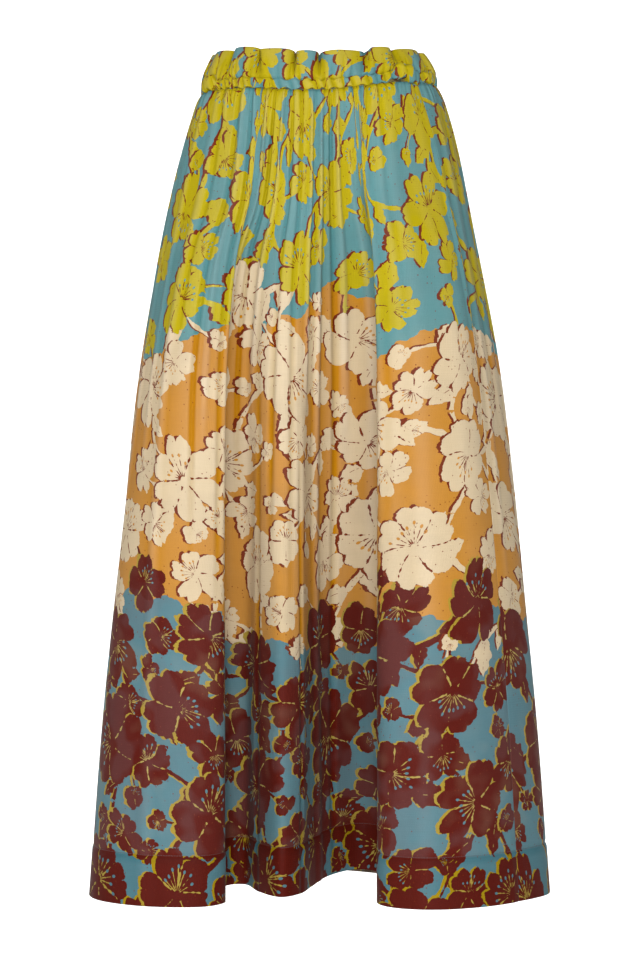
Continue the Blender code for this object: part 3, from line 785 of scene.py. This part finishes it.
def outward_normals(x, y):
    """Plan normals and directions along an open run of points, anticlockwise from above."""
    along = np.stack([np.gradient(x), np.gradient(y)], axis=1)
    along /= np.linalg.norm(along, axis=1)[:, None]
    return np.stack([along[:, 1], -along[:, 0]], axis=1), along


def softened(normal, passes):
    """Normals averaged with their neighbours, so that the inside turns gently at a fold."""
    for _ in range(passes):
        middle = normal[:-2] + 2 * normal[1:-1] + normal[2:]
        normal = np.vstack([normal[:1], middle, normal[-1:]])
        normal = normal / np.linalg.norm(normal, axis=1)[:, None]
    return normal


class Gathers:
    """The crowded folds under the casing: each one has its own place, height and reach."""

    def __init__(self, start, end, pitch, seed):
        random = np.random.RandomState(seed)
        count = int(round((end - start) / pitch))
        self.centres = start + (np.arange(count) + 0.5) * pitch + random.uniform(-0.22, 0.22, count) * pitch
        self.half = pitch * random.uniform(0.42, 0.60, count)
        self.height = 0.0003 + 0.0025 * random.uniform(0.0, 1.0, count) ** 2.6
        self.reach = 0.018 + 0.15 * random.uniform(0.0, 1.0, count) ** 3.2
        self.drift = random.uniform(-1.0, 1.0, count) * pitch * 5.0

    def rise(self, degrees, depth):
        total = np.zeros_like(degrees)
        for centre, half, height, reach, drift in zip(
                self.centres, self.half, self.height, self.reach, self.drift):
            fade = max(0.0, 1.0 - depth / (2.2 * reach)) ** 2
            if fade == 0.0:
                continue
            away = np.abs(degrees - centre - drift * depth) / (half * (1.0 + 1.2 * depth / reach))
            bump = np.cos(np.clip(away, 0.0, 1.0) * math.pi / 2) ** 0.85
            total += height * fade * bump
        return (total - total.mean()) * min(1.0, 0.5 + depth / 0.010)


def long_fold_rise(degrees, depth):
    """Height of the long soft folds, each between its own two depths."""
    total = np.zeros_like(degrees)
    for centre, top, bottom, half, height in LONG_FOLDS:
        if not top - 0.05 < depth < bottom:
            continue
        enter = min(1.0, max(0.0, (depth - top + 0.05) / 0.09))
        leave = min(1.0, max(0.0, (bottom - depth) / (0.35 * (bottom - top)))) if bottom < 0.83 else 1.0
        if 0.7 <= half < 1.0:
            height *= 1.0 - 0.35 * min(1.0, max(0.0, (depth - 0.26) / 0.2))
        sway = half * 0.35 * math.sin(9.0 * depth + centre)
        away = np.abs((degrees - centre - sway + 180.0) % 360.0 - 180.0) / (half * 1.6)
        bump = np.cos(np.clip(away, 0.0, 1.0) * math.pi / 2) ** 2
        total += height * enter * leave * (3 - 2 * leave) * leave * bump
    return total


def creased(turn, slant):
    """The elastic's puckers round the waist: rounded lumps with narrow creases between them."""
    phase = 37 * turn + slant
    for step, size in ((3, 1.1), (5, 0.9), (8, 0.8), (13, 0.7), (29, 0.35)):
        phase = phase + size * np.sin(step * turn + 2.4 * step)
    strength = 0.75 + 0.25 * np.sin(9 * turn + 1.3) * np.sin(4 * turn)
    return strength * np.abs(np.sin(phase)) ** 0.55


def pinch(depth):
    """Share of the soft swelling where the cloth leaves the casing's stitches."""
    return depth / 0.012 * math.exp(1.0 - depth / 0.012) - 0.35 * math.exp(-(depth / 0.004) ** 2)


def hem_profile(depth):
    """How far the cloth stands out at the turned-up hem: a dent along its stitches, then doubled."""
    from_stitches = depth - (PANEL_LENGTH - HEM_TURN_UP)
    dent = -0.0012 * math.exp(-(from_stitches / 0.0024) ** 2)
    doubled = 0.0007 if from_stitches > 0 else 0.0
    return dent + doubled


def cloth_shell(name, outer, inner, cloth_u, cloth_v, closed, seed, span, painted_shades):
    """A closed thin shell between two sheets of points, rows first, with the printed voile on it."""
    rows, columns = outer.shape[:2]
    spans = columns if closed else columns - 1
    j, i = np.meshgrid(np.arange(rows - 1), np.arange(spans), indexing="ij")
    j, i = j.ravel(), i.ravel()
    k = np.arange(spans)
    side = np.arange(rows - 1)
    last = columns - 1
    zero = np.zeros_like

    def corners(*points):
        """Each corner is its sheet, row and column."""
        return [np.stack(np.broadcast_arrays(*(np.asarray(part) for part in point)), axis=-1)
                for point in points]

    blocks = [
        corners((zero(i), j, i), (zero(i), j + 1, i), (zero(i), j + 1, i + 1), (zero(i), j, i + 1)),
        corners((zero(i) + 1, j, i), (zero(i) + 1, j, i + 1), (zero(i) + 1, j + 1, i + 1),
                (zero(i) + 1, j + 1, i)),
        corners((zero(k), 0, k), (zero(k), 0, k + 1), (zero(k) + 1, 0, k + 1), (zero(k) + 1, 0, k)),
        corners((zero(k), rows - 1, k + 1), (zero(k), rows - 1, k), (zero(k) + 1, rows - 1, k),
                (zero(k) + 1, rows - 1, k + 1))]
    if not closed:
        blocks.append(corners((zero(side), side, 0), (zero(side) + 1, side, 0),
                              (zero(side) + 1, side + 1, 0), (zero(side), side + 1, 0)))
        blocks.append(corners((zero(side), side + 1, last), (zero(side) + 1, side + 1, last),
                              (zero(side) + 1, side, last), (zero(side), side, last)))
    faces = np.concatenate([np.stack(block, axis=1) for block in blocks])
    sheet, row, column = faces[..., 0], faces[..., 1], faces[..., 2]
    index = sheet * rows * columns + row * columns + column % columns
    mesh = bpy.data.meshes.new(name)
    points = np.concatenate([outer.reshape(-1, 3), inner.reshape(-1, 3)])
    mesh.from_pydata(points.tolist(), [], index.tolist())
    mesh.validate()
    u = cloth_u[row, column].ravel()
    v = cloth_v[row, column].ravel()
    inside = sheet.ravel().astype(float)
    double = (v > HEM_STITCH_DEPTH).astype(float)
    print_cloth(mesh, u, v, seed, span, inside, double)
    # Painted shade of the folds, creases and joins, kept for the voile: darker where above zero, lighter
    # where below
    painted_shade = mesh.attributes.new("painted_shade", "FLOAT", "POINT")
    painted_shade.data.foreach_set("value", np.tile(np.clip(painted_shades, -1.0, 3.0).ravel(), 2).astype(np.float32))
    mesh.materials.append(printed_voile)
    mesh.shade_smooth()
    piece = bpy.data.objects.new(name, mesh)
    scene.collection.objects.link(piece)
    return piece


def hollows_of(relief, reach, full):
    """How deep each place lies below the mean of the relief beside it, as a share of full."""
    padded = np.pad(relief, reach, mode="reflect")
    window = np.hanning(2 * reach + 3)[1:-1]
    beside = np.convolve(padded, window / window.sum(), mode="valid")
    return (beside - relief) / full


def panel_depths():
    """Depths of the panel's rows: close together in the gathers and round the hem stitches."""
    stitches = PANEL_LENGTH - HEM_TURN_UP
    return np.concatenate([
        np.linspace(0.0, 0.10, 27)[:-1], np.linspace(0.10, 0.25, 17)[:-1],
        np.linspace(0.25, stitches - 0.008, 37), stitches + np.array([-0.004, -0.0015, 0.0, 0.0015, 0.004]),
        np.linspace(stitches + 0.010, PANEL_LENGTH - 0.003, 5), [PANEL_LENGTH - 0.0008, PANEL_LENGTH]])


def make_panel(name, ring, first_fold, last_fold, seed, pitch):
    """One panel between two side seams, row by row from the casing down to the hem."""
    places = ring.spread_columns(first_fold, last_fold, PANEL_COLUMNS)
    turn, hem_x, hem_y, _ = ring.read(places)
    degrees = np.degrees(turn)
    hem_share = share_of_run(hem_x, hem_y)
    gathers = Gathers(degrees[0], degrees[-1], pitch, seed)
    puckers = Gathers(degrees[0], degrees[-1], pitch * 0.46, seed + 1)
    random = np.random.RandomState(seed + 2)
    ranges = ((1.5, 7.0), (0, 6.3), (4, 13), (0, 6.3))
    slow = [[random.uniform(*ends) for ends in ranges] for _ in range(10)]
    outer, inner, cloth_u, cloth_v, painted_shades = [], [], [], [], []
    for depth in panel_depths():
        x, y, z = ring.at_depth(places, depth)
        normal, along = outward_normals(x, y)
        heading = np.unwrap(np.arctan2(along[:, 1], along[:, 0]))
        bend = np.abs(np.gradient(heading)) / 0.07
        rise = gathers.rise(degrees, depth) + long_fold_rise(degrees, depth)
        rise += 0.45 * puckers.rise(degrees, depth * 3.0)
        folded = 1.0 - SMOOTH_SHARE * np.exp(-((degrees - SMOOTH_MIDDLE) / SMOOTH_HALF_WIDTH) ** 2)
        rise = rise * folded
        rise += SWELL_UNDER_CASING * folded * pinch(depth)
        pleat = creased(turn, 0.0) - 0.6
        rise += PLEAT_HEIGHT * pleat * folded * math.exp(-depth / PLEAT_REACH)
        for across, start, down, turn_start in slow:
            sway = math.sin(down * depth + turn_start)
            rise += SLOW_WAVE_HEIGHT * np.sin(2 * math.pi * across * hem_share + start) * sway
        drawn_in = np.where(np.cos(turn) > 0, DRAWN_IN_RIGHT, DRAWN_IN_LEFT) * np.abs(np.cos(turn)) ** 4
        rise = rise - drawn_in * math.exp(-((depth - DRAWN_IN_DEPTH) / DRAWN_IN_REACH) ** 2)
        rise = rise / (1 + bend * bend)
        # Painted shade: darker in the folds' valleys and lighter on their ridges, darker just under the
        # casing, and a darker band where the hem's raw edge is turned in
        under_casing = CASING_SHADE * math.exp(-depth / SHADE_REACH)
        from_edge = depth - PANEL_LENGTH + HEM_TURN_UP - SHADE_REACH
        turned_edge = TURNED_EDGE_SHADE * math.exp(-(from_edge / SHADE_REACH) ** 2)
        fold_shade = np.minimum(hollows_of(rise, HOLLOW_REACH, FULL_HOLLOW), 1.8)
        painted_shades.append(fold_shade + under_casing + turned_edge)
        rise = rise + hem_profile(depth)
        edge = np.minimum(np.arange(PANEL_COLUMNS + 1), np.arange(PANEL_COLUMNS + 1)[::-1]) / 6.0
        rise = rise * np.clip(edge, 0.0, 1.0) - 0.0005 * np.clip(1.0 - edge, 0.0, 1.0)
        skin = np.stack([x, y], axis=1) + normal * rise[:, None]
        skin[0] += along[0] * SEAM_GAP / 2
        skin[-1] -= along[-1] * SEAM_GAP / 2
        thickness = HEM_THICKNESS if depth > PANEL_LENGTH - HEM_TURN_UP else VOILE_THICKNESS
        if depth == PANEL_LENGTH:
            thickness *= 0.6
        lining = skin - softened(normal, 14) * thickness
        outer.append(np.column_stack([skin, z]))
        inner.append(np.column_stack([lining, z]))
        width = PANEL_TOP_WIDTH + (PANEL_HEM_WIDTH - PANEL_TOP_WIDTH) * depth / PANEL_LENGTH
        cloth_u.append((hem_share - 0.5) * width)
        cloth_v.append(np.full(PANEL_COLUMNS + 1, depth))
    span = ((-0.53, 0.53), (-0.02, PANEL_LENGTH + 0.02))
    return cloth_shell(name, np.array(outer), np.array(inner), np.array(cloth_u), np.array(cloth_v),
                       False, seed, span, np.array(painted_shades))


def stitch_row(name, rows, length, gap, width, colour):
    """One row of straight stitches that lie on the cloth along runs of points."""
    points, faces = [], []
    brick = ((0, 1, 2, 3), (7, 6, 5, 4), (0, 4, 5, 1), (1, 5, 6, 2), (2, 6, 7, 3), (3, 7, 4, 0))
    for run in rows:
        way = np.gradient(run, axis=0)
        way /= np.linalg.norm(way, axis=1)[:, None]
        out = np.column_stack([way[:, 1], -way[:, 0], np.zeros(len(way))])
        out /= np.linalg.norm(out, axis=1)[:, None]
        along = np.concatenate([[0.0], np.cumsum(np.linalg.norm(np.diff(run, axis=0), axis=1))])
        for start in np.arange(gap, along[-1] - length, length + gap):
            ends = [np.array([np.interp(at, along, run[:, k]) for k in range(3)])
                    for at in (start, start + length)]
            near = min(np.searchsorted(along, start), len(run) - 1)
            high, side = out[near] * width * 0.5, np.array([0.0, 0.0, width / 2])
            first = len(points)
            for end in ends:
                points += [end + side - high, end - side - high,
                           end - side * 0.6 + high, end + side * 0.6 + high]
            faces += [[first + k for k in face] for face in brick]
    mesh = bpy.data.meshes.new(name)
    mesh.from_pydata([tuple(point) for point in points], [], faces)
    thread = bpy.data.materials.new(name + "_thread")
    thread.use_nodes = True
    wiring = Wiring(thread.node_tree)
    shader = thread.node_tree.nodes["Principled BSDF"]
    place = wiring.node("ShaderNodeTexCoord").outputs["Object"]
    shade = wiring.math("ADD", 0.75, wiring.math("MULTIPLY", wiring.noise(place, 160.0, 2.0), 0.5))
    tint = wiring.node("ShaderNodeHueSaturation")
    wiring.plug(tint.inputs["Value"], shade)
    wiring.plug(tint.inputs["Color"], colour)
    wiring.plug(shader.inputs["Base Color"], tint.outputs[0])
    shader.inputs["Roughness"].default_value = 0.6
    mesh.materials.append(thread)
    piece = bpy.data.objects.new(name, mesh)
    scene.collection.objects.link(piece)
    return piece


def outer_row(piece, depth, columns):
    """The run of outer points of a panel nearest to a depth."""
    row = int(np.argmin(np.abs(panel_depths() - depth)))
    return np.array([tuple(piece.data.vertices[row * columns + k].co) for k in range(columns)])


ring = FoldRing(FRONT_FOLDS + BACK_FOLDS)
side_seam = len(FRONT_FOLDS)
front_panel = make_panel("front_panel", ring, 0, side_seam, 11, 4.6)
back_panel = make_panel("back_panel", ring, side_seam, side_seam + len(BACK_FOLDS), 23, 5.2)
for panel, node in ((front_panel, "skirt_front"), (back_panel, "skirt_back")):
    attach(panel, "root")
    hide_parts(node)

hem_rows = [outer_row(panel, PANEL_LENGTH - HEM_TURN_UP, PANEL_COLUMNS + 1)
            for panel in (front_panel, back_panel)]
hem_stitches = stitch_row("hem_stitches", hem_rows, 0.0021, 0.0007, 0.0005, HEM_THREAD)
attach(hem_stitches, "root")


# Casing. The lower part of the waist strip, folded double round a hidden elastic and stitched
# above and below it. The elastic draws it into small uneven puckers, with puffs by the seams.
CASING_COLUMNS = 720
CASING_HALF_THICKNESS = 0.0022
PUCKER_DEPTH = 0.0040
STRIP_LENGTH = 1.15
STRIP_SEED = 37
STRIP_SPAN = ((0.0, STRIP_LENGTH), (-0.06, 0.02))
# Turn and half width in degrees, extra height, extra thickness, how much it tips along its length
PUFFS = [(202, 8, 0.0026, 0.0056, -0.0010), (317.5, 9.5, 0.0032, 0.0072, 0.0034),
         (338, 7, 0.0012, 0.0030, 0.0)]


def puff_at(turn, column):
    """Extra size of the casing at a turn, from the puffs beside the seams."""
    extra = np.zeros_like(turn)
    for puff in PUFFS:
        away = (np.degrees(turn) - puff[0] + FULL_TURN / 2) % FULL_TURN - FULL_TURN / 2
        size = 1.0 if column == 1 else puff[column]
        extra += size * np.clip(1.0 - (away / puff[1]) ** 2, 0.0, 1.0) ** 0.6
    return extra


def puff_tilt(turn):
    """How far the casing's centre line climbs over one end of a puff and sinks at the other."""
    tilt = np.zeros_like(turn)
    for puff in PUFFS:
        away = (np.degrees(turn) - puff[0] + FULL_TURN / 2) % FULL_TURN - FULL_TURN / 2
        share = np.clip(away / (1.4 * puff[1]), -1.0, 1.0)
        tilt -= puff[4] * np.sin(math.pi * share)
    return tilt


def uneven_wave(turn, waves, seed):
    """A wave round the waist whose length and height vary from one place to the next."""
    random = np.random.RandomState(seed)
    phase = waves * turn
    for step in (3, 5, 8, 13):
        phase = phase + random.uniform(0.5, 1.3) * np.sin(step * turn + random.uniform(0, 6.3))
    strength = 1.0 + 0.30 * np.sin(7 * turn + random.uniform(0, 6.3)) + 0.25 * np.sin(17 * turn + seed)
    return strength * np.sin(phase)


def waist_frame(turn):
    """Centre line of the waist strip and the direction out of it."""
    x = (WAIST_HALF_WIDTH - CASING_HALF_THICKNESS) * np.cos(turn)
    y = (WAIST_HALF_DEPTH - CASING_HALF_THICKNESS) * np.sin(turn)
    normal = np.stack([np.cos(turn) * WAIST_HALF_DEPTH, np.sin(turn) * WAIST_HALF_WIDTH], axis=1)
    return x, y, normal / np.linalg.norm(normal, axis=1)[:, None]


def make_casing():
    """The puckered casing, a closed round of two sheets that meet above and below the elastic."""
    turn = np.radians(np.linspace(0.0, FULL_TURN, CASING_COLUMNS, endpoint=False))
    bottom = waist_height(turn) - CASING_HALF_HEIGHT
    top = waist_height(turn) + CASING_HALF_HEIGHT + 2 * puff_at(turn, 2)
    x, y, normal = waist_frame(turn)
    outer, inner, painted_shades = [], [], []
    angles = np.radians(np.linspace(90.0, -90.0, 15))
    for angle in angles:
        up = math.copysign(abs(math.sin(angle)) ** 0.75, math.sin(angle))
        out = max(math.cos(angle), 0.0) ** 0.6
        pucker = PUCKER_DEPTH * (creased(turn, 0.5 * up) - 0.68) * (1.0 - 0.7 * puff_at(turn, 1))
        height = (top + bottom) / 2 + (top - bottom) / 2 * up + puff_tilt(turn)
        height = height + 0.0011 * up * uneven_wave(turn, 58, 9)
        # Painted shade in the puckers' creases and along the stitched top and bottom of the casing
        painted_shades.append(-pucker / 0.0012 + 0.9 * abs(up) ** 12)
        for sheet, way in ((outer, 1.0), (inner, -1.0)):
            swell = 1.0 if way > 0 else 0.4
            body = (0.25 + 0.75 * out) * (CASING_HALF_THICKNESS + puff_at(turn, 3))
            reach = way * (body + swell * pucker * out)
            sheet.append(np.column_stack([x + normal[:, 0] * reach, y + normal[:, 1] * reach, height]))
    u = np.linspace(0.0, STRIP_LENGTH, CASING_COLUMNS + 1)
    cloth_u = np.tile(u, (len(angles), 1))
    cloth_v = np.tile(np.linspace(-0.016, -0.002, len(angles))[:, None], (1, CASING_COLUMNS + 1))
    return cloth_shell("casing_cloth", np.array(outer), np.array(inner), cloth_u, cloth_v, True, STRIP_SEED,
                       STRIP_SPAN, np.array(painted_shades))


casing_cloth = make_casing()
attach(casing_cloth, "root")
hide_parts("waist_casing")


# Frill. The upper part of the waist strip, folded double, stands up free above the casing. It is
# 1.7 times as long as the waist, so it waves, and here and there folds over on itself.
FRILL_COLUMNS = 960
FRILL_ROWS = 22
FRILL_HEIGHT = 0.0270
FRILL_LEAN = 0.010
FRILL_SIDE_LEAN = 0.006
FRILL_LOBES = 17
FRILL_WALL = 0.0009
LOBE_DEPTH = 0.0165
FOOT_PUCKER = 0.0040
# Turn and half width in degrees, then how far the edge is drawn sideways and outwards there
FRILL_TUCKS = [(243, 5, -0.0060, 0.0035), (277, 3.5, 0.0040, 0.0035), (292, 5, 0.0080, 0.0050),
               (60, 6, 0.0060, 0.0030), (118, 6, -0.0050, 0.0030)]


def make_frill():
    """The standing frill, row by row from its wavy edge down to its foot in the casing."""
    turn = np.radians(np.linspace(0.0, FULL_TURN, FRILL_COLUMNS, endpoint=False))
    degrees = np.degrees(turn)
    x, y, normal = waist_frame(turn)
    front = np.maximum(0.0, -np.sin(turn)) ** 6
    phase = FRILL_LOBES / 2 * turn
    for step, size in ((2, 0.5), (3, 0.45), (5, 0.35), (9, 0.25)):
        phase = phase + size * np.sin(step * turn + 1.7 * step)
    lobe = np.abs(np.sin(phase)) ** 0.62
    lump = creased(turn, 0.5)
    narrow = uneven_wave(turn, 43, 8)
    base = waist_height(turn) + CASING_HALF_HEIGHT + puff_at(turn, 2) + puff_tilt(turn) - 0.0016
    edge = WAIST_LEVEL - 0.75 * FRONT_DIP * front + CASING_HALF_HEIGHT + FRILL_HEIGHT
    edge = edge + 0.0034 * lobe - 0.0016 + 0.0008 * np.sin(5 * turn)
    sideways, outward = -0.0032 * np.sin(2 * phase), np.zeros_like(turn)
    for centre, half, aside, out in FRILL_TUCKS:
        share = np.exp(-((degrees - centre) / half) ** 2)
        sideways, outward = sideways + aside * share, outward + out * share
    at_sides = np.abs(np.cos(turn)) ** 2
    tangent = np.stack([-normal[:, 1], normal[:, 0]], axis=1)
    outer, inner, painted_shades = [], [], []
    for row in range(FRILL_ROWS):
        share = 1.0 - row / (FRILL_ROWS - 1)
        lean = (FRILL_LEAN + FRILL_SIDE_LEAN * at_sides) * share ** 1.6
        middle = LOBE_DEPTH * (lobe - 0.66) * share ** 0.9 + 0.0014 * narrow * share * (1.25 - share)
        roll = share / 0.16 * math.exp(1.0 - share / 0.16)
        middle = middle + FOOT_PUCKER * (lump - 0.68) * (1 - share) ** 1.6 + 0.0020 * roll
        middle = middle - 0.0026 * (1 - share) ** 5 - lean
        middle = middle + outward * share ** 1.5 - 0.0035 * puff_at(turn, 1) * (1 - share) ** 2
        foot = puff_at(turn, 1) * (1 - share) ** 8
        # Painted shade between the frill's lobes, in the puckers at its foot and where its foot sits behind
        # the puffs
        between = 1.6 * (0.72 - lobe) * share ** 0.5
        painted_shades.append(between + 2.6 * (0.68 - lump) * (1 - share) ** 1.4 + 1.3 * foot)
        wall = FRILL_WALL * (0.6 if row == 0 else 1.0)
        shift = tangent * (sideways * share)[:, None]
        height = base + (edge - base) * share
        for sheet, reach in ((outer, middle + wall / 2), (inner, middle - wall / 2)):
            sheet.append(np.column_stack([
                x + normal[:, 0] * reach + shift[:, 0], y + normal[:, 1] * reach + shift[:, 1], height]))
    u = np.linspace(0.0, STRIP_LENGTH, FRILL_COLUMNS + 1)
    cloth_u = np.tile(u, (FRILL_ROWS, 1))
    cloth_v = np.tile(np.linspace(-0.046, -0.016, FRILL_ROWS)[:, None], (1, FRILL_COLUMNS + 1))
    return cloth_shell("frill_cloth", np.array(outer), np.array(inner), cloth_u, cloth_v, True, STRIP_SEED,
                       STRIP_SPAN, np.array(painted_shades))


frill_cloth = make_frill()
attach(frill_cloth, "root")
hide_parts("waist_frill")


# Studio. A pale floor that curves up into a pale wall all round, well below the hanging skirt.
FLOOR_LEVEL = -1.45
STUDIO_RADIUS = 7.5
STUDIO_HEIGHT = 6.0
STUDIO_PAINT = (0.60, 0.60, 0.597)

bpy.ops.mesh.primitive_cylinder_add(vertices=128, radius=STUDIO_RADIUS, depth=STUDIO_HEIGHT,
                                    end_fill_type="NGON", location=(0, 0, FLOOR_LEVEL + STUDIO_HEIGHT / 2))
studio = bpy.context.object
studio.name = "studio"
bpy.ops.object.mode_set(mode="EDIT")
bpy.ops.mesh.select_all(action="DESELECT")
bpy.ops.object.mode_set(mode="OBJECT")
for face in studio.data.polygons:
    face.select = face.normal.z > 0.5
bpy.ops.object.mode_set(mode="EDIT")
bpy.ops.mesh.delete(type="ONLY_FACE")
bpy.ops.object.mode_set(mode="OBJECT")
for edge in studio.data.edges:
    edge.select = all(studio.data.vertices[n].co.z < 0 for n in edge.vertices)
bpy.ops.object.mode_set(mode="EDIT")
bpy.ops.mesh.select_mode(type="EDGE")
bpy.ops.mesh.bevel(offset=3.0, segments=24, affect="EDGES")
bpy.ops.mesh.select_all(action="SELECT")
bpy.ops.mesh.flip_normals()
bpy.ops.object.mode_set(mode="OBJECT")
bpy.ops.object.shade_smooth()
bpy.ops.object.transform_apply(location=True)
paint = bpy.data.materials.new("studio_paint")
paint.use_nodes = True
paint_shader = paint.node_tree.nodes["Principled BSDF"]
paint_shader.inputs["Roughness"].default_value = 0.9
paint_shader.inputs["Base Color"].default_value = (*STUDIO_PAINT, 1.0)
studio.data.materials.append(paint)


# Lights. Large soft lights left and right of the camera, weaker ones on both sides, one high behind,
# one that brightens the wall behind the skirt, and a pale even sky above the wall.
def soft_light(name, place, target, size, power):
    """A round soft light that points at a target."""
    data = bpy.data.lights.new(name, "AREA")
    data.shape = "DISK"
    data.size = size
    data.energy = power
    light = bpy.data.objects.new(name, data)
    light.location = place
    way = [b - a for a, b in zip(place, target)]
    light.rotation_euler = Vector(way).to_track_quat("-Z", "Y").to_euler()
    scene.collection.objects.link(light)
    return light


soft_light("key", (-0.9, -4.2, 0.5), (0.0, 0.0, -0.38), 2.2, 131.0)
soft_light("fill", (0.6, -4.4, -0.1), (0.0, 0.0, -0.45), 2.0, 152.0)
soft_light("left_side", (-3.8, -1.6, 0.0), (0.0, 0.0, -0.4), 2.2, 48.0)
soft_light("right_side", (3.8, -1.8, -0.1), (0.0, 0.0, -0.4), 2.2, 24.0)
soft_light("rim", (0.5, 3.4, 2.4), (0.0, 0.0, -0.4), 2.0, 30.0)
soft_light("backdrop", (0.0, 3.2, 2.9), (0.0, 7.4, -0.9), 3.0, 520.0)
world = bpy.data.worlds.new("sky")
scene.world = world
world.use_nodes = True
sky = world.node_tree.nodes["Background"]
sky.inputs["Color"].default_value = (1.0, 1.0, 1.0, 1.0)
sky.inputs["Strength"].default_value = 0.13
